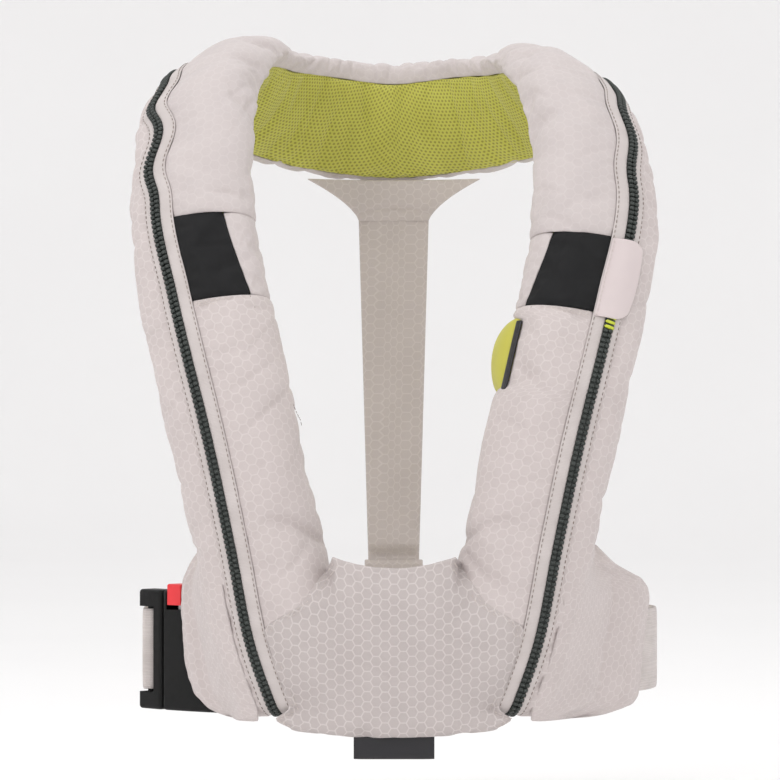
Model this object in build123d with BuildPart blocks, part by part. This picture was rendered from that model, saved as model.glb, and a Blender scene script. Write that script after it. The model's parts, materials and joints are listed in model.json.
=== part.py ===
"""Slim inflatable life jacket in the shape it has when worn.

The origin is the middle of the wearer's neck at shoulder height. +Z is up, the wearer faces -Y,
and the wearer's right side is at -X. Every length is in millimetres.

A horseshoe band runs from the hem, up one side of the chest, round the back of the neck and down
the other side. A place on it is a number: 0 is the right end at the hem, 11 the middle of the nape
and 22 the left end. At each place, u runs across the band from its neck edge to its outer edge,
and n stands out from the wearer. Each fabric strip is lofted between two places, two values of u
and two depths below the skin.
"""

from build123d import *
from math import acos, atan2, copysign, cos, degrees, pi, radians, sin
import os

os.makedirs("parts", exist_ok=True)

# Overall sizes
half_chest = 122  # neck axis to the middle of the band where it stands widest
neck_drop = 374  # shoulder height down to the band's ends
chest_depth = 112  # neck axis forward to the chest
nape_depth = 71  # neck axis back to the nape
belt_half_width = 161  # waist belt, neck axis to its outside at the wearer's side
belt_half_depth = 100  # waist belt, neck axis back to its outside at the spine

# Fabric band
band_width = 76
skin_power = 2.4  # exponent of the band's rounded section
fabric = 2.2  # cover and its light padding
lining = 1.5
seam_gap = 0.5  # between pieces that are sewn edge to edge
neck_seam = -27  # u of the seam between the neck strip and the front cover
step = 0.5  # spacing of lofted sections along the band
seam = 0.02  # half the space at a cross seam, as a share of a place

# Zip
chain_width = 6
chain_proud = 0.6
chain_depth = 2.0
inner_tape = 8
outer_tape = 4.5
tape_drop = 0.5
tape = 0.9

# Webbing and buckle
webbing_width = 50
webbing = 2.0
belt_height = -341.5  # middle of the belt
belt_shift = 4  # the buckle pulls the belt this far off the middle
soft_gap = 0.4  # between pieces that touch
buckle_height = 74
buckle_thickness = 14
buckle_inset = 9  # the stiff buckle cuts the belt's curve by this much
buckle_degree = 200  # belt angle where the buckle parts
housing_length = 54
frame_length = 21
bar_radius = 2.6
blade = 3.0  # buckle tongue's blade
blade_length = 20
blade_width = 34
blade_gap = 0.5
wall = 2.5
button_length = 11
button_depth = 9  # how far the button reaches into the housing
button_proud = 4
button_travel = 2.5
spring_wire = 0.4

# Pieces at the back
strap_top_width = 46
strap_foot_width = 33
strap = 1.6
keeper_width = 38
keeper_top = -291.5
keeper_wall = 2.2

# Inside the chest lobes
bladder_fold = 5  # thickness of the folded bladder behind the inflator
bladder_bulk = 17  # and round the neck
bulk_start = 5.7  # place where it thickens
bladder_inset = 5
bladder_end = 0.3  # place where it ends, above the hem
lobe_bow = 3  # the lobes bow forward by this much along a long straight piece
cylinder_radius = 14
cylinder_length = 95
cylinder_neck = 6.5
inflator_width = 38
inflator_depth = 24
inflator_length = 50
lever_length = 22
pin_travel = 4.0
tube_radius = 6.5
tube_wall = 1.3


class Frame:
    """The band's position, directions and sizes at one place."""

    def __init__(self, row):
        self.centre = Vector(*row[0:3])
        self.across = Vector(*row[3:6]).normalized()
        facing = Vector(*row[6:9])
        facing = facing - self.across * facing.dot(self.across)
        self.facing = facing.normalized()
        self.thickness = row[9]
        self.zip = row[10]
        self.plane = Plane(origin=self.centre, x_dir=self.across, z_dir=self.across.cross(self.facing))

    def point(self, u, n):
        return self.centre + self.across * u + self.facing * n


def station(x, y, z, across, facing, thickness, zip_place):
    """One hand-set frame. x, y and z are shares of half_chest, the depth and neck_drop."""
    depth = chest_depth if y < 0 else nape_depth
    return [x * half_chest, y * depth, z * neck_drop, *across, *facing, thickness, zip_place]


right_half = [
    station(-0.43, -0.93, -1.00, (-1.00, 0.12, -0.06), (-0.10, -0.99, -0.05), 36, 13),  # hem
    station(-0.54, -0.95, -0.88, (-1.00, 0.16, -0.10), (-0.15, -0.98, -0.02), 42, 13),  # waist
    station(-0.64, -0.97, -0.73, (-1.00, 0.12, -0.12), (-0.12, -0.99, 0.02), 46, 13),  # ribs
    station(-0.75, -1.00, -0.57, (-1.00, 0.10, -0.16), (-0.10, -0.99, 0.05), 46, 13),
    station(-0.84, -0.98, -0.44, (-1.00, 0.12, -0.18), (-0.12, -0.98, 0.14), 43, 14),  # chest
    station(-0.91, -0.92, -0.34, (-1.00, 0.15, -0.15), (-0.16, -0.96, 0.20), 37, 15),  # window sill
    station(-0.97, -0.79, -0.21, (-0.98, 0.22, -0.13), (-0.24, -0.90, 0.36), 32, 18),  # window head
    station(-0.95, -0.50, -0.06, (-0.94, 0.18, -0.28), (-0.33, -0.60, 0.72), 30, 21),
    station(-0.83, -0.08, 0.01, (-0.86, -0.04, -0.50), (-0.46, 0.08, 0.87), 30, 22),  # shoulder
    station(-0.62, 0.52, 0.00, (-0.66, 0.02, -0.75), (-0.50, 0.62, 0.58), 29, 21),
    station(-0.33, 0.88, -0.02, (-0.26, 0.20, -0.94), (-0.20, 0.93, 0.26), 28, 20),
    station(0.00, 1.00, -0.03, (0.00, 0.26, -0.96), (0.00, 0.96, 0.26), 28, 20),  # nape
]


def mirror_row(row):
    """The same station on the left side: x, and the x parts of both directions, change sign."""
    return [-value if i in (0, 3, 6) else value for i, value in enumerate(row)]


stations = right_half + [mirror_row(row) for row in reversed(right_half[:-1])]
nape = len(right_half) - 1
left_hem = len(stations) - 1


def left(place):
    """The place on the left side that mirrors a place on the right."""
    return left_hem - place


# Places along the band, on the right side
hem, waist, sill, head = 0, 1, 4.83, 5.84  # sill and head are the window's seams
opening_foot = 3.6  # lower end of the left side opening
opening_head = 4.75
shoulder = 8  # the collar's seam


def frame_at(place):
    """Frame between stations, on a Catmull-Rom curve through them."""
    i = min(int(place), left_hem - 1)
    t = place - i
    a, b, c, d = (stations[min(max(i + k, 0), left_hem)] for k in (-1, 0, 1, 2))
    row = [
        0.5 * (2 * q + (r - p) * t + (2 * p - 5 * q + 4 * r - s) * t**2 + (3 * q - p - 3 * r + s) * t**3)
        for p, q, r, s in zip(a, b, c, d)
    ]
    return Frame(row)


half_width = band_width / 2
seat = lining + seam_gap  # the covers' edges stand on the lining


def skin(frame, angle, depth):
    """(u, n) on the rounded section: angle 0 is the neck edge, pi the outer edge."""
    across, out = cos(angle), sin(angle)
    u = -copysign(abs(across) ** (2 / skin_power), across) * (half_width - depth)
    n = seat + (frame.thickness - seat - depth) * abs(out) ** (2 / skin_power)
    return u, n


def angle_at(u):
    """Angle of the skin at a distance u across the band."""
    return acos(-copysign(abs(u / half_width) ** (skin_power / 2), u))


def skin_point(frame, u, depth=0.0):
    return frame.point(*skin(frame, angle_at(u), depth))


def places_between(start, end):
    """Both ends and every whole step between them, so that neighbours share their sections."""
    low, high = sorted((start, end))
    steps = [k * step for k in range(round(left_hem / step) + 1)]
    places = [low] + [at for at in steps if low + step / 4 < at < high - step / 4] + [high]
    return places if start < end else places[::-1]


def place_at(height, u, n):
    """Place on the right lobe where the point (u, n) is at a height, found by halving the range."""
    low, high = hem, sill
    for _ in range(20):
        middle = (low + high) / 2
        if frame_at(middle).point(u, n).Z < height:
            low = middle
        else:
            high = middle
    return low


def strip(start, end, low, high, top, bottom):
    """A fabric strip from place start to place end, between two angles, given by functions of the frame,
    and from depth top to depth bottom."""
    with BuildPart() as made:
        for place in places_between(start, end):
            frame = frame_at(place)
            angles = [low(frame) + (high(frame) - low(frame)) * k / 5 for k in range(6)]
            with BuildSketch(frame.plane):
                with BuildLine():
                    outside = Spline(*[skin(frame, angle, top) for angle in angles])
                    inside = Spline(*[skin(frame, angle, bottom) for angle in reversed(angles)])
                    Line(outside @ 1, inside @ 0)
                    Line(inside @ 1, outside @ 0)
                make_face()
        loft()
    return made


def slab(start, end, corners):
    """A slab from place start to place end whose section is the polygon corners(frame)."""
    with BuildPart() as made:
        for place in places_between(start, end):
            frame = frame_at(place)
            with BuildSketch(frame.plane):
                with BuildLine():
                    Polyline(*corners(frame), close=True)
                make_face()
        loft()
    return made


def keep(made, label):
    made.part.label = label
    export_step(made.part, f"parts/{label}.step")


# Angles of the seams
def neck_edge(frame):
    return 0.0


def outer_edge(frame):
    return pi


def across_at(offset, from_zip=True):
    """A function that gives the angle at a distance from the zip's middle, or from the band's middle."""
    return lambda frame: angle_at(offset + (frame.zip if from_zip else 0))


half_chain = chain_width / 2
tape_seam_in = -half_chain - inner_tape
tape_seam_out = half_chain + outer_tape
cover_seam = across_at(tape_seam_in - seam_gap)
gusset_seam = across_at(tape_seam_out + seam_gap)


# ---------------------------------------------------------------- covers
past_edge = -half_width - 5  # the opening's cutter starts clear of the fabric


def lining_section(frame):
    return [(-half_width, 0), (half_width, 0), (half_width, lining), (-half_width, lining)]


for side, place_on in (("right", lambda place: place), ("left", left)):
    with BuildPart() as lower_cover:
        add(strip(place_on(hem), place_on(sill - seam), neck_edge, cover_seam, 0, fabric).part)
        if side == "left":
            add(
                slab(
                    place_on(opening_foot),
                    place_on(opening_head),
                    lambda frame: [(past_edge, -5), (neck_seam, -5), (neck_seam, 60), (past_edge, 60)],
                ).part,
                mode=Mode.SUBTRACT,
            )
    keep(lower_cover, f"lower_cover_{side}")

    window = strip(place_on(sill + seam), place_on(head - seam), neck_edge, cover_seam, 0, fabric)
    keep(window, f"chest_window_{side}")

    upper_cover = strip(place_on(head + seam), place_on(shoulder - seam), neck_edge, cover_seam, 0, fabric)
    keep(upper_cover, f"upper_cover_{side}")

    gusset = strip(place_on(hem), place_on(shoulder - seam), gusset_seam, outer_edge, 0, fabric)
    keep(gusset, f"side_gusset_{side}")

    back_lining = slab(place_on(hem), place_on(shoulder - seam), lining_section)
    keep(back_lining, f"back_lining_{side}")

collar = (shoulder + seam, left(shoulder) - seam)
keep(strip(*collar, neck_edge, cover_seam, 0, fabric), "collar_cover")
keep(strip(*collar, gusset_seam, outer_edge, 0, fabric), "collar_gusset")
keep(slab(*collar, lining_section), "collar_lining")

# ---------------------------------------------------------------- burst zip, from hem to hem
tape_top, tape_bottom = tape_drop, tape_drop + tape
keep(
    strip(hem, left_hem, across_at(tape_seam_in), across_at(-half_chain - seam_gap), tape_top, tape_bottom),
    "zip_tape_inner",
)
keep(
    strip(hem, left_hem, across_at(half_chain + seam_gap), across_at(tape_seam_out), tape_top, tape_bottom),
    "zip_tape_outer",
)
chain = strip(hem, left_hem, across_at(-half_chain), across_at(half_chain), -chain_proud, chain_depth)
keep(chain, "zip_chain")

# ---------------------------------------------------------------- bladder, folded inside the band
with BuildPart() as bladder:
    bladder_half = half_width - fabric - bladder_inset
    floor_n = seat + 2 * soft_gap
    stretches = [
        (bladder_end, bulk_start, bladder_fold),
        (bulk_start, left(bulk_start), bladder_bulk),
        (left(bulk_start), left(bladder_end), bladder_fold),
    ]
    for first, last, depth in stretches:
        add(
            slab(
                first,
                last,
                lambda frame: [
                    (-bladder_half, floor_n),
                    (bladder_half, floor_n),
                    (bladder_half - 2, floor_n + depth * 0.7),
                    (bladder_half - 9, floor_n + depth),
                    (-bladder_half + 9, floor_n + depth),
                    (-bladder_half + 2, floor_n + depth * 0.7),
                ],
            ).part
        )
keep(bladder, "bladder")
bladder_front = floor_n + bladder_fold + soft_gap

# ---------------------------------------------------------------- front panel over the two hems
panel_outline = [(-386, 58), (-365, 62), (-330, 71), (-308, 55), (-283, 36)]  # height and half width
panel_bow = 5


def front_crest(height):
    """Y of the chest lobes' most forward fabric at a height near the hem."""
    frame = frame_at(place_at(height, 0, stations[waist][9]))
    return min(skin_point(frame, u).Y for u in (0, 5, 10))


with BuildPart() as front_panel:
    for height, half in panel_outline:
        front = front_crest(height) - 2 * seam_gap
        with BuildSketch(Plane.XY.offset(height)):
            with BuildLine():
                back = ThreePointArc((-half, front), (0, front - panel_bow), (half, front))
                face = ThreePointArc(
                    (-half, front - fabric), (0, front - fabric - panel_bow), (half, front - fabric)
                )
                Line(back @ 0, face @ 0)
                Line(back @ 1, face @ 1)
            make_face()
    loft()
keep(front_panel, "front_panel")

tab_width, tab_low, tab_high, tab = 48, -400, -372, 2.0
tab_front = front_crest(panel_outline[0][0]) - 2 * seam_gap - panel_bow + 1.4
with BuildPart() as crotch_strap_keeper:
    with BuildSketch(Plane.XY.offset(tab_low)):
        with Locations((0, tab_front + tab / 2)):
            Rectangle(tab_width, tab)
    extrude(amount=tab_high - tab_low)
keep(crotch_strap_keeper, "crotch_strap_keeper")


# ---------------------------------------------------------------- waist belt
def belt_point(degree, out=0.0):
    """Plan point on the belt's outside, or out mm beyond it. 0 is the wearer's left side and 90 the back."""
    angle = radians(degree)
    depth = belt_half_depth if sin(angle) > 0 else chest_depth
    return Vector(belt_shift + (belt_half_width + out) * cos(angle), (depth + out) * sin(angle))


def belt_degree(x, front):
    """The belt angle at a given x, on the front or the back half."""
    angle = degrees(acos((x - belt_shift) / belt_half_width))
    return -angle if front else angle


def standing_strip(outside, inside, low, high):
    """A strip standing on edge between two plan curves that run the same way."""
    with BuildPart() as made:
        with BuildSketch(Plane.XY.offset(low)):
            with BuildLine():
                near = Spline(*inside)
                far = Spline(*outside)
                Line(near @ 0, far @ 0)
                Line(near @ 1, far @ 1)
            make_face()
        extrude(amount=high - low)
    return made


belt_low, belt_high = belt_height - webbing_width / 2, belt_height + webbing_width / 2
keeper_half = keeper_width / 2
swing_gap = 1.3  # from the belt's hinge line to the fabric on each side of it


def angles_between(first, last, count):
    return [first + (last - first) * k / (count - 1) for k in range(count)]


def plan(point, back=0.0):
    """The point seen from above, moved back mm towards +Y."""
    return Vector(point.X, point.Y + back)


# The left half is sewn through the keeper and to the back of the left lobe.
left_angles = angles_between(belt_degree(-keeper_half + 0.2, False), belt_degree(112, True), 13)
sewn = [plan(frame_at(left(0.2)).point(u, -4 * soft_gap)) for u in (half_width, half_width - 20)]
belt_left = standing_strip(
    [belt_point(angle) for angle in left_angles] + sewn,
    [belt_point(angle, -webbing) for angle in left_angles] + [plan(point, webbing) for point in sewn],
    belt_low,
    belt_high,
)
keep(belt_left, "belt_left")

# The right half swings about an upright line where it leaves the keeper.
hinge_degree = belt_degree(-keeper_half - swing_gap, False)
pivot = belt_point(hinge_degree, -webbing / 2)
parting = belt_point(buckle_degree, -buckle_inset)
buckle_radius = (parting - pivot).length
parting_angle = atan2((parting - pivot).Y, (parting - pivot).X)
buckle_half = buckle_height / 2
buckle_high = belt_height + buckle_half


def on_buckle(s, r):
    """Plan point s mm from the buckle's parting line into the housing and r mm outside its middle."""
    angle = parting_angle + s / buckle_radius
    return pivot + Vector(cos(angle), sin(angle)) * (buckle_radius + r)


def sector(s, r, z):
    """A block bent about the belt's hinge line: ranges of s and r as above, and of height."""
    with BuildPart() as made:
        with BuildSketch(Plane.XY.offset(z[0])):
            with BuildLine():
                near = ThreePointArc(*[on_buckle(at, r[0]) for at in (s[0], sum(s) / 2, s[1])])
                far = ThreePointArc(*[on_buckle(at, r[1]) for at in (s[0], sum(s) / 2, s[1])])
                Line(near @ 0, far @ 0)
                Line(near @ 1, far @ 1)
            make_face()
        extrude(amount=z[1] - z[0])
    return made


def about_middle(half):
    return (belt_height - half, belt_height + half)


# Housing, with the blade's cavity, the button's pocket, its spring's bore and the loop's slot
half_thick = buckle_thickness / 2
button_start = 4.5
spring_length = 9
notch_foot = buckle_high - button_depth - button_travel - soft_gap
spring_foot = notch_foot - spring_length + button_travel + soft_gap
button_middle = on_buckle(button_start + button_length / 2, 0)
parting_gap = 0.4
slot = (housing_length - 11, housing_length - 5)
with BuildPart() as buckle_housing:
    add(sector((parting_gap, housing_length), (-half_thick, half_thick), about_middle(buckle_half)).part)
    fillet(edges().filter_by(Axis.Z), 2.5)
    fillet(edges().group_by(Axis.Z)[0] + edges().group_by(Axis.Z)[-1], 2.2)
    cavity_half = blade_width / 2 + blade_gap
    add(
        sector(
            (-1, blade_length + 1.5),
            (-blade / 2 - blade_gap, blade / 2 + blade_gap),
            about_middle(cavity_half),
        ).part,
        mode=Mode.SUBTRACT,
    )
    add(
        sector(
            (button_start - soft_gap, button_start + button_length + soft_gap),
            (-half_thick + wall, half_thick + 1),
            (notch_foot, buckle_high + 1),
        ).part,
        mode=Mode.SUBTRACT,
    )
    with Locations((button_middle.X, button_middle.Y, spring_foot)):
        Cylinder(2.7, buckle_half, align=(Align.CENTER, Align.CENTER, Align.MIN), mode=Mode.SUBTRACT)
    add(
        sector(slot, (-half_thick - 1, half_thick + 1), about_middle(webbing_width / 2 + 1)).part,
        mode=Mode.SUBTRACT,
    )
keep(buckle_housing, "buckle_housing")

with BuildPart() as release_button:
    add(
        sector(
            (button_start, button_start + button_length),
            (-half_thick + wall + soft_gap, half_thick + 0.3),
            (buckle_high - button_depth, buckle_high + button_proud),
        ).part
    )
    fillet(edges().filter_by(Axis.Z), 1.0)
    fillet(edges().group_by(Axis.Z)[-1], 1.2)
keep(release_button, "release_button")

spring_top = buckle_high - button_depth - 0.1
with BuildPart() as button_spring:
    with Locations((button_middle.X, button_middle.Y, spring_foot + 0.1)):
        Cylinder(2.2, spring_top - spring_foot - 0.1, align=(Align.CENTER, Align.CENTER, Align.MIN))
        Cylinder(
            2.2 - spring_wire,
            spring_top - spring_foot - 0.1,
            align=(Align.CENTER, Align.CENTER, Align.MIN),
            mode=Mode.SUBTRACT,
        )
keep(button_spring, "button_spring")

# Frame at the belt's end, with its blade, two arms and a round bar
bar_place = -frame_length + bar_radius + 2.5
frame_base = 7
with BuildPart() as buckle_frame:
    add(sector((-frame_length, -parting_gap), (-half_thick, half_thick), about_middle(buckle_half)).part)
    fillet(edges().filter_by(Axis.Z), 2.5)
    fillet(edges().group_by(Axis.Z)[0] + edges().group_by(Axis.Z)[-1], 2.2)
    add(
        sector(
            (-frame_length - 1, -frame_base),
            (-half_thick - 1, half_thick + 1),
            about_middle(webbing_width / 2 + 1.5),
        ).part,
        mode=Mode.SUBTRACT,
    )
    bar_middle = on_buckle(bar_place, 0)
    with Locations((bar_middle.X, bar_middle.Y, belt_height)):
        Cylinder(bar_radius, webbing_width + 8)
    add(
        sector(
            (-parting_gap - 1, blade_length),
            (-blade / 2, blade / 2),
            about_middle(blade_width / 2),
        ).part
    )
keep(buckle_frame, "buckle_frame")

# The strap runs to the bar's outside, turns round it and folds back inside itself.
turn_in = bar_radius + soft_gap
turn_out = turn_in + webbing
right_angles = angles_between(belt_degree(-keeper_half - 2 * swing_gap, False), buckle_degree - 23, 9)
bar_out = [on_buckle(bar_place + ahead, turn_out) for ahead in (-3, 0)]
bar_in = [on_buckle(bar_place + ahead, turn_in) for ahead in (-3, 0)]
tail_angles = (buckle_degree - 35, buckle_degree - 29)
tail_join = [on_buckle(bar_place + ahead, -turn_in) for ahead in (-3, 0)]
belt_right = standing_strip(
    [belt_point(angle) for angle in right_angles] + bar_out,
    [belt_point(angle, -webbing) for angle in right_angles] + bar_in,
    belt_low,
    belt_high,
)
tail = standing_strip(
    [belt_point(angle, -webbing - soft_gap) for angle in tail_angles] + tail_join,
    [belt_point(angle, -2 * webbing - soft_gap) for angle in tail_angles]
    + [on_buckle(bar_place + ahead, -turn_out) for ahead in (-3, 0)],
    belt_low,
    belt_high,
)
with BuildPart() as turn:
    with BuildSketch(Plane.XY.offset(belt_low)):
        with BuildLine():
            outer_turn, inner_turn = (
                ThreePointArc(on_buckle(bar_place, r), on_buckle(bar_place + r, 0), on_buckle(bar_place, -r))
                for r in (turn_out, turn_in)
            )
            Line(outer_turn @ 0, inner_turn @ 0)
            Line(outer_turn @ 1, inner_turn @ 1)
        make_face()
    extrude(amount=webbing_width)
with BuildPart() as belt_right_whole:
    add(belt_right.part)
    add(tail.part)
    add(turn.part)
keep(belt_right_whole, "belt_right")

# A short strap ties the housing's inner bar to the back of the right lobe.
slot_middle = sum(slot) / 2
anchor = [plan(frame_at(0.2).point(u, -4 * soft_gap)) for u in (half_width - 12, half_width - 30)]
housing_loop = standing_strip(
    [on_buckle(slot_middle, half_thick - 4), on_buckle(slot_middle + 2, half_thick + 5)] + anchor,
    [on_buckle(slot_middle + 2, half_thick - 4), on_buckle(slot_middle + 4, half_thick + 4)]
    + [plan(point, webbing) for point in anchor],
    belt_low,
    belt_high,
)
keep(housing_loop, "housing_loop")

# ---------------------------------------------------------------- back
with BuildPart() as belt_keeper:
    belt_back = belt_point(90).Y
    keeper_low = belt_low - 9
    with BuildSketch(Plane.XY.offset(keeper_low)):
        with Locations((0, belt_back - webbing / 2)):
            Rectangle(keeper_width, webbing + 2 * keeper_wall + 1.6)
    extrude(amount=keeper_top - keeper_low)
    fillet(edges().filter_by(Axis.X), 1.2)
    with Locations((0, belt_back - webbing / 2 - 0.4, belt_height)):
        Box(keeper_width + 2, webbing + 1.6, webbing_width + 1, mode=Mode.SUBTRACT)
keep(belt_keeper, "belt_keeper")

nape_low = frame_at(nape).point(half_width, 0)
yoke_half = 54  # half the yoke's width at the collar
yoke_foot = nape_low.Z - 23
strap_line = [(nape_low.Y + 9, yoke_foot - 0.5), (belt_back - 3, -150), (belt_back + 0.5, keeper_top + 0.5)]
with BuildPart() as back_strap:
    with BuildSketch(Plane.YZ):
        with BuildLine():
            back = Spline(*strap_line)
            front = Spline(*[(y - strap, z) for y, z in strap_line])
            Line(back @ 0, front @ 0)
            Line(back @ 1, front @ 1)
        make_face()
    extrude(amount=strap_top_width, both=True)
    with BuildSketch(Plane.XZ):
        with BuildLine():
            Polyline(
                (-strap_top_width / 2, yoke_foot),
                (strap_top_width / 2, yoke_foot),
                (strap_foot_width / 2, keeper_top),
                (-strap_foot_width / 2, keeper_top),
                close=True,
            )
        make_face()
    extrude(amount=belt_half_depth * 2, both=True, mode=Mode.INTERSECT)
keep(back_strap, "back_strap")

with BuildPart() as back_yoke:
    levels = [
        (nape_low.Z - 0.7, yoke_half, nape_low.Y + 1.5, 12),
        (yoke_foot, strap_top_width / 2, nape_low.Y + 9, 2),
    ]
    for z, half, y, bow in levels:
        with BuildSketch(Plane.XY.offset(z)):
            with BuildLine():
                back = ThreePointArc((-half, y - bow), (0, y), (half, y - bow))
                front = ThreePointArc((-half, y - bow - strap), (0, y - strap), (half, y - bow - strap))
                Line(back @ 0, front @ 0)
                Line(back @ 1, front @ 1)
            make_face()
    loft()
keep(back_yoke, "back_yoke")

# ---------------------------------------------------------------- wings over the belt's ends
wing = 5
right_tips = [(-373, -104), (-364, -119), (-345, -125), (-318, -128), (-298, -127), (-279, -121)]
left_tips = [(-373, 148), (-364, 150), (-345, 151), (-318, 155), (-303, 156), (-290, 140), (-279, 126)]
for side, tips in (("right", right_tips), ("left", left_tips)):
    with BuildPart() as wing_part:
        for height, tip in tips:
            place = place_at(height, half_width, 8)
            wall_frame = frame_at(place if side == "right" else left(place))
            low_root, high_root = (plan(wall_frame.point(half_width + 2 * soft_gap, n)) for n in (4, 15))
            tip_degree = belt_degree(tip, True)
            mids = [belt_degree(low_root.X + (tip - low_root.X) * share, True) for share in (0.4, 0.7)]
            rises = (wing + 6, wing + 3)
            corners = [
                high_root,
                *[belt_point(mid, 1.2 + rise) for mid, rise in zip(mids, rises)],
                belt_point(tip_degree, 2 * soft_gap + wing),
                belt_point(tip_degree, 2 * soft_gap),
                *[belt_point(mid, 1.2) for mid in reversed(mids)],
                low_root,
            ]
            with BuildSketch(Plane.XY.offset(height)):
                with BuildLine():
                    Polyline(*corners, close=True)
                make_face()
        loft()
    keep(wing_part, f"wing_{side}")

# ---------------------------------------------------------------- oral tube and its opening, left lobe
lip = slab(
    left(opening_head - 0.05),
    left(opening_foot + 0.05),
    lambda frame: [
        (-half_width - 3, 3),
        (-half_width - soft_gap, 2),
        (-half_width - soft_gap, 17),
        (-half_width - 3, 15),
    ],
)
keep(lip, "side_opening_lip")

tube_u, tube_n = -24, bladder_front + tube_radius + lobe_bow
tube_places = (3.5, 4.6)  # its foot, and its mouth inside the opening
tube_low, tube_high = (frame_at(left(place)).point(tube_u, tube_n) for place in tube_places)
tube_plane = Plane(
    origin=tube_low, x_dir=frame_at(left(tube_places[0])).facing, z_dir=(tube_high - tube_low).normalized()
)
tube_length = (tube_high - tube_low).length
with BuildPart() as oral_tube:
    with BuildSketch(tube_plane):
        Circle(tube_radius)
    extrude(amount=tube_length)
    with BuildSketch(Plane(origin=tube_low, z_dir=-frame_at(left(tube_places[0])).facing)):
        Circle(tube_radius)
    extrude(amount=tube_n - bladder_front)
    with BuildSketch(tube_plane.offset(tube_radius)):
        Circle(tube_radius - tube_wall)
    extrude(amount=tube_length, mode=Mode.SUBTRACT)
keep(oral_tube, "oral_tube")

cap_depth = 8
cap_wall = 1.2
with BuildPart() as oral_valve_cap:
    with BuildSketch(tube_plane.offset(tube_length - cap_depth)):
        Circle(tube_radius + 0.3 + cap_wall)
    extrude(amount=cap_depth + 0.3 + cap_wall)
    with BuildSketch(tube_plane.offset(tube_length - cap_depth)):
        Circle(tube_radius + 0.3)
    extrude(amount=cap_depth + 0.3, mode=Mode.SUBTRACT)
keep(oral_valve_cap, "oral_valve_cap")

whistle_frame = frame_at(left(2.6))
whistle_gap = 2.1  # the bladder bows forward under the whistle's ends
whistle_width, whistle_depth, whistle_length = 20, 9, 42
whistle_window = (6, 12)  # where the air leaves it
whistle_n = bladder_front + whistle_depth / 2 + whistle_gap
with BuildPart() as whistle:
    with BuildSketch(whistle_frame.plane):
        with Locations((0, whistle_n)):
            RectangleRounded(whistle_width, whistle_depth, 2)
    extrude(amount=whistle_length / 2, both=True)
    with BuildSketch(Plane(origin=whistle_frame.point(0, whistle_n), z_dir=whistle_frame.facing)):
        Rectangle(*whistle_window)
    extrude(amount=whistle_depth, mode=Mode.SUBTRACT)
keep(whistle, "whistle")

# ---------------------------------------------------------------- gas inflator, right lobe
inflator_n = bladder_front + max(cylinder_radius, inflator_depth / 2) + lobe_bow + soft_gap
inflator_foot, inflator_aim = (frame_at(place).point(-2, inflator_n) for place in (1.15, 3.6))
inflator = Plane(
    origin=inflator_foot, x_dir=frame_at(1.15).across, z_dir=(inflator_aim - inflator_foot).normalized()
)
bore_x, bobbin_x = 5, -10  # the gas cylinder's axis and the bobbin's, across the body
neck_depth = 12
pin_radius = 1.5
ear = 2.4
ear_gap = 2.4
ear_drop = 8
lever_pivot = -5
axle_radius = 1.25
bobbin_radius = 6.5
bobbin_depth = 22


def rod(radius, x, start, length):
    """A round rod along the inflator, x across it, from start for length."""
    with BuildPart() as made:
        with BuildSketch(inflator.offset(start)):
            with Locations((x, 0)):
                Circle(radius)
        extrude(amount=length)
    return made


with BuildPart() as inflator_body:
    with BuildSketch(inflator):
        RectangleRounded(inflator_width, inflator_depth, 5)
    extrude(amount=inflator_length)
    with BuildSketch(inflator):
        for y in (-1, 1):
            with Locations((bore_x, y * (ear_gap + ear / 2))):
                Rectangle(8, ear)
    extrude(amount=-ear_drop)
    bores = [
        rod(pin_radius + 0.3, bore_x, -1, inflator_length),
        rod(cylinder_neck + 0.1, bore_x, inflator_length - neck_depth - 0.1, neck_depth + 1),
        rod(bobbin_radius + 0.3, bobbin_x, -1, bobbin_depth + 1.3),
    ]
    for bore in bores:
        add(bore.part, mode=Mode.SUBTRACT)
    axle = inflator.from_local_coords((bore_x, 0, lever_pivot))
    axle_plane = Plane(origin=axle, x_dir=inflator.x_dir, z_dir=inflator.y_dir)
    with BuildSketch(axle_plane):
        Circle(axle_radius)
    extrude(amount=ear_gap + ear, both=True)
keep(inflator_body, "inflator_body")

with BuildPart() as gas_cylinder:
    add(rod(cylinder_neck, bore_x, inflator_length - neck_depth, neck_depth + 2).part)
    add(rod(cylinder_radius, bore_x, inflator_length + 1, cylinder_length).part)
    fillet(faces().sort_by(Axis(inflator.origin, inflator.z_dir))[-1].edges(), 10)
keep(gas_cylinder, "gas_cylinder")

cap_height = 5
keep(rod(bobbin_radius, bobbin_x, 1.5, bobbin_depth - 2), "bobbin")
keep(rod(bobbin_radius + 2, bobbin_x, -cap_height - 0.3, cap_height), "inflator_cap")
keep(rod(pin_radius, bore_x, 0.5, inflator_length - neck_depth - pin_travel - 1), "piercing_pin")

with BuildPart() as firing_lever:
    with BuildSketch(axle_plane):
        Circle(4)
        with Locations((0, lever_length / 2)):
            Rectangle(8, lever_length)
        Circle(axle_radius + 0.08, mode=Mode.SUBTRACT)
    extrude(amount=ear_gap - 0.3, both=True)
keep(firing_lever, "firing_lever")

with BuildPart() as manifold_washer:
    base = -(inflator_n - bladder_front)
    with BuildSketch(Plane(origin=inflator.from_local_coords((0, base, 20)), z_dir=inflator.y_dir)):
        Circle(10)
    extrude(amount=-base - inflator_depth / 2 - soft_gap)
keep(manifold_washer, "manifold_washer")

# ---------------------------------------------------------------- label flap, burst marker and slider
flap_width = 22
flap_rise = 1.3
flap = 1.0
flap_seam = tape_seam_in + 0.5
flap_edges = across_at(flap_seam), across_at(flap_seam + flap_width)
label_flap = strip(left(4.78), left(5.85), *flap_edges, -flap_rise - flap, -flap_rise)
keep(label_flap, "label_flap")

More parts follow.
